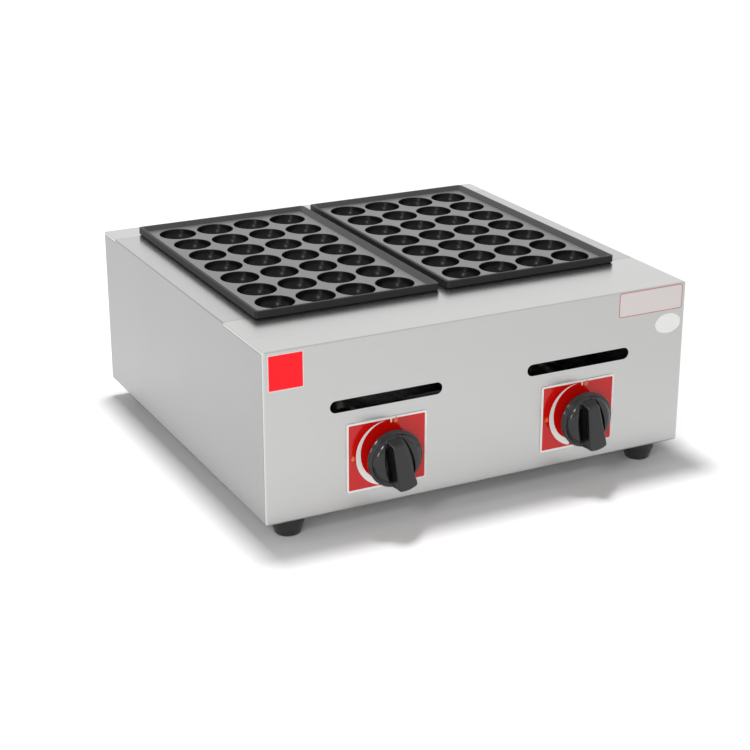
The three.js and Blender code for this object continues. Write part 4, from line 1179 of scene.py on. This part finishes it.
def crescent_outline(x, z, outer, widths, steps=40):
    """Runs round the outer edge from the first to the last angle and back along the inner one."""
    first, last = widths[0][0], widths[-1][0]
    outside, inside = [], []
    for k in range(steps + 1):
        angle = first + (last - first) * k / steps
        for (a0, w0), (a1, w1) in zip(widths, widths[1:]):
            if a0 <= angle <= a1:
                width = w0 + (w1 - w0) * (angle - a0) / (a1 - a0)
        turn = math.radians(angle)
        outside.append((x + outer * math.cos(turn), z + outer * math.sin(turn)))
        inside.append((x + (outer - width) * math.cos(turn), z + (outer - width) * math.sin(turn)))
    return outside + inside[::-1]


def flame_outline(x, z, height, steps=10):
    """A small pointed flame, round below and leaning at its tip."""
    right, left = [], []
    for k in range(steps + 1):
        rise = k / steps
        bulge = math.sin(math.pi * rise ** flame_bulge) * (1 - flame_taper * rise)
        half = flame_half_share * height * bulge + flame_tip
        lean = flame_lean * height * rise * rise
        right.append((x + lean + half, z + (rise - 0.5) * height))
        left.append((x + lean - half, z + (rise - 0.5) * height))
    return right + left[::-1]


def printed(name, outline, y, material):
    """A printed shape: a thin layer that stands a hair proud of what carries it."""
    piece = drawn_prism(name, outline, lambda u, v, w: (u, y - print_layer + w, v), 3 * print_layer)
    return finish_piece(piece, "stove", material, "dial_red")


def make_dial_plate(side, name, white, red, orange):
    low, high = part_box(f"{name}_dial_plate")
    axis = side * knob_axis_x
    hole = round_points(axis, knob_axis_z, spindle_hole)
    outline = box_outline(low.x, high.x, low.z, high.z, dial_corner)
    plate = drawn_prism(f"{name}_dial_sheet", outline, across_y(low.y), high.y - low.y)
    carve(plate, [punch("hole", hole, low.y)])
    finish_piece(shade(plate), "stove", white, "dial_red", f"{name}_dial_plate")

    rim = dial_border
    inner = box_outline(low.x + rim, high.x - rim, low.z + rim, high.z - rim, dial_corner / 2)
    field = printed(f"{name}_dial_field", inner, low.y, red)
    carve(field, [punch("hole", hole, low.y)])
    above = low.y - print_layer
    crescent = crescent_outline(axis, knob_axis_z, crescent_radius, crescent_widths)
    printed(f"{name}_dial_crescent", crescent, above, white)
    for mark, (across, rise, height) in (("low", low_mark), ("high", high_mark)):
        printed(f"{name}_{mark}_mark", flame_outline(axis + across, base_z + rise, height), above, orange)
    tick = box_outline(axis + tick_left, axis + tick_right, base_z + tick_low, base_z + tick_high,
                       tick_corner)
    printed(f"{name}_dial_tick", tick, above, white)


def make_dial_plates():
    white = enamel("white_enamel", enamel_white)
    red = enamel("red_enamel", enamel_red)
    orange = enamel("orange_enamel", mark_orange)
    for side, name in both_sides:
        make_dial_plate(side, name, white, red, orange)


make_dial_plates()


# The knobs: glossy black moulded plastic, a domed skirt with a grip bar across it and a hollow along each
# side of the bar. Each is pressed on the flatted end of its spindle and turns with it.
knob_skirt_reach = 0.0195
knob_dome_top = 0.028
knob_reach = 0.036
knob_black = (0.006, 0.006, 0.007)
knob_leans = {"left": 13, "right": 10}
knob_voxel = 0.00042
knob_ease = 0.5
knob_ease_rounds = 4
knob_thin_share = 0.3
skirt_profile = [(0, 0.0062), (0.009, 0.0062), (0.009, 0.0165), (0.0242, 0.0165), (0.0245, 0.014),
                 (0.0276, 0.014), (0.0280, 0.0144), (0.0280, 0.0154), (0.0272, 0.0158), (0.0268, 0.0164),
                 (0.0270, 0.0172), (0.0281, 0.0177), (0.0286, 0.0183), (0.0288, 0.0189),
                 (0.0286, 0.0196), (0.0281, 0.0200), (0.0268, 0.0201)]
# The shoulder is a quarter of an oval: how far out its centre lies, its width and its rise.
shoulder_centre, shoulder_width, shoulder_rise = 0.0175, 0.0085, 0.0075
shoulder_turns = range(0, 84, 6)
# The crown closes the dome: how far out each point lies, and how far under the top.
knob_crown = [(0.0115, 0.0005), (0.0055, 0.0001), (0, 0)]
# Each level of the grip is its reach forward, how far it flares out, and its top.
grip_levels = [(0.0165, 0.0012, 0.0252), (0.0245, 0.0008, 0.0242), (0.0300, 0.0, 0.0228),
               (0.0350, 0.0, 0.0214), (knob_reach, -0.0009, 0.0204)]
grip_top_half = 0.0063
grip_foot_half = 0.01025
grip_foot = -0.0262
grip_heel = -0.0286
grip_radii = [0.0026, 0.0026, 0.02, 0.0026, 0.0026]
# Each hollow is an arc from its top through its middle to its bottom, and a floor.
knob_hollows = (((0.007, 0.0265), (0.015, 0), (0.0115, -0.0275), 0.0235),
                ((0.0066, 0.024), (0.0116, 0), (0.0108, -0.026), 0.0195))
hollow_depth = 0.02


def arc_through(a, b, c, steps=24):
    """Points on the circle through three points, from the first to the last."""
    (ax, ay), (bx, by), (cx, cy) = a, b, c
    d = 2 * (ax * (by - cy) + bx * (cy - ay) + cx * (ay - by))
    aa, bb, cc = ax * ax + ay * ay, bx * bx + by * by, cx * cx + cy * cy
    ux = (aa * (by - cy) + bb * (cy - ay) + cc * (ay - by)) / d
    uy = (aa * (cx - bx) + bb * (ax - cx) + cc * (bx - ax)) / d
    radius = math.hypot(ax - ux, ay - uy)
    first = math.atan2(ay - uy, ax - ux)
    middle = math.atan2(by - uy, bx - ux)
    sweep = (math.atan2(cy - uy, cx - ux) - first) % math.tau
    if (middle - first) % math.tau > sweep:
        sweep -= math.tau
    angles = [first + sweep * k / steps for k in range(steps + 1)]
    return [(ux + radius * math.cos(angle), uy + radius * math.sin(angle)) for angle in angles]


def facing_front(u, v, w):
    """The knob's own frame: u across, v up, and w the reach forward from the panel."""
    return (u, -w, v)


def grip_bar():
    rows = []
    for reach, flare, top in grip_levels:
        top_half = grip_top_half + flare
        foot_half = grip_foot_half + flare
        corners = [(-top_half, top), (-foot_half, grip_foot), (0, grip_heel - min(flare, 0)),
                   (foot_half, grip_foot), (top_half, top)]
        rows.append([facing_front(u, v, reach) for u, v in rounded_corners(corners, grip_radii, steps=6)])
    count = len(rows[0])
    points = [point for row in rows for point in row]
    faces = [tuple(range(count)), tuple(range(len(points) - count, len(points)))]
    return welded_piece("grip", points, faces + bands(len(rows), count))


def make_knob(side, name, plastic):
    shoulder = [(shoulder_centre + shoulder_width * math.cos(a),
                 knob_skirt_reach + shoulder_rise * math.sin(a))
                for a in (math.radians(turn) for turn in shoulder_turns)]
    crown = [(out, knob_dome_top - drop) for out, drop in knob_crown]
    knob = turned_piece(f"{name}_handle", skirt_profile + shoulder + crown, facing_front, steps=96)
    hollows = []
    for top, middle, bottom, floor in knob_hollows:
        right = arc_through(top, middle, bottom)
        left = [(-u, v) for u, v in reversed(right)]
        hollow = drawn_prism("hollow", right + left, facing_front, hollow_depth)
        hollow.data.transform(Matrix.Translation(facing_front(0, 0, floor)))
        hollows.append(hollow)
    carve(knob, hollows)
    carve(knob, [grip_bar()], "UNION")
    skin = knob.modifiers.new("skin", "REMESH")
    skin.mode = "VOXEL"
    skin.voxel_size = knob_voxel
    ease = knob.modifiers.new("ease", "SMOOTH")
    ease.factor = knob_ease
    ease.iterations = knob_ease_rounds
    thin = knob.modifiers.new("thin", "DECIMATE")
    thin.ratio = knob_thin_share
    settle(knob)
    knob.data.transform(Matrix.Rotation(math.radians(-knob_leans[name]), 4, "Y"))
    knob.data.transform(Matrix.Translation((side * knob_axis_x, front_y, knob_axis_z)))
    knob.data.shade_smooth()
    finish_piece(knob, f"{name}_knob", plastic, "knob_black", f"{name}_knob")


def make_knobs():
    plastic = moulded("knob_plastic", knob_black, roughness=0.14, grain=260, bump=0.04)
    for side, name in both_sides:
        make_knob(side, name, plastic)


make_knobs()


# The labels: three thin foils glued to the face. One is a plain red square with a pale edge, one a pale
# strip with a thin outline, and one a small white oval. All three are bare.
label_red = (1.0, 0.006, 0.015)
label_pale = (0.7, 0.65, 0.64)
label_line = (0.5, 0.16, 0.15)
label_white = (0.85, 0.85, 0.84)
# Each label with an edge has its left, its right, its low and high over the base, and two corner radii.
square_label = (-0.2306, -0.1944, 0.1347, 0.1707, 0.0006, 0.0004)
long_label = (0.1540, 0.2310, 0.147, 0.173, 0.003, 0.0021)
label_edge = 0.0009
oval_x, oval_rise = 0.2148, 0.1326
oval_half_width, oval_half_height = 0.0155, 0.0105


def foil(name, colour, roughness, gloss=1.5):
    return moulded(name, colour, roughness, grain=2500, bump=0.03, mottle=0.05, gloss=gloss)


def edged_label(name, edge_name, place, edge, field):
    """A foil with a narrow edge in another colour."""
    left, right, low, high, outer_corner, inner_corner = place
    low, high = base_z + low, base_z + high
    printed(edge_name, box_outline(left, right, low, high, outer_corner), front_y, edge)
    inner = box_outline(left + label_edge, right - label_edge, low + label_edge, high - label_edge,
                        inner_corner)
    printed(name, inner, front_y - print_layer, field)


def make_labels():
    red = foil("label_red", label_red, roughness=0.3, gloss=1.3)
    pale = foil("label_pale", label_pale, roughness=0.35)
    line = foil("label_line", label_line, roughness=0.4)
    white = foil("label_white", label_white, roughness=0.3)
    edged_label("square_label", "square_label_edge", square_label, pale, red)
    edged_label("long_label", "long_label_outline", long_label, line, pale)
    oval = [(oval_x + oval_half_width * c, base_z + oval_rise + oval_half_height * s)
            for c, s in circle_turns(steps=48)]
    printed("oval_label", oval, front_y, white)


make_labels()
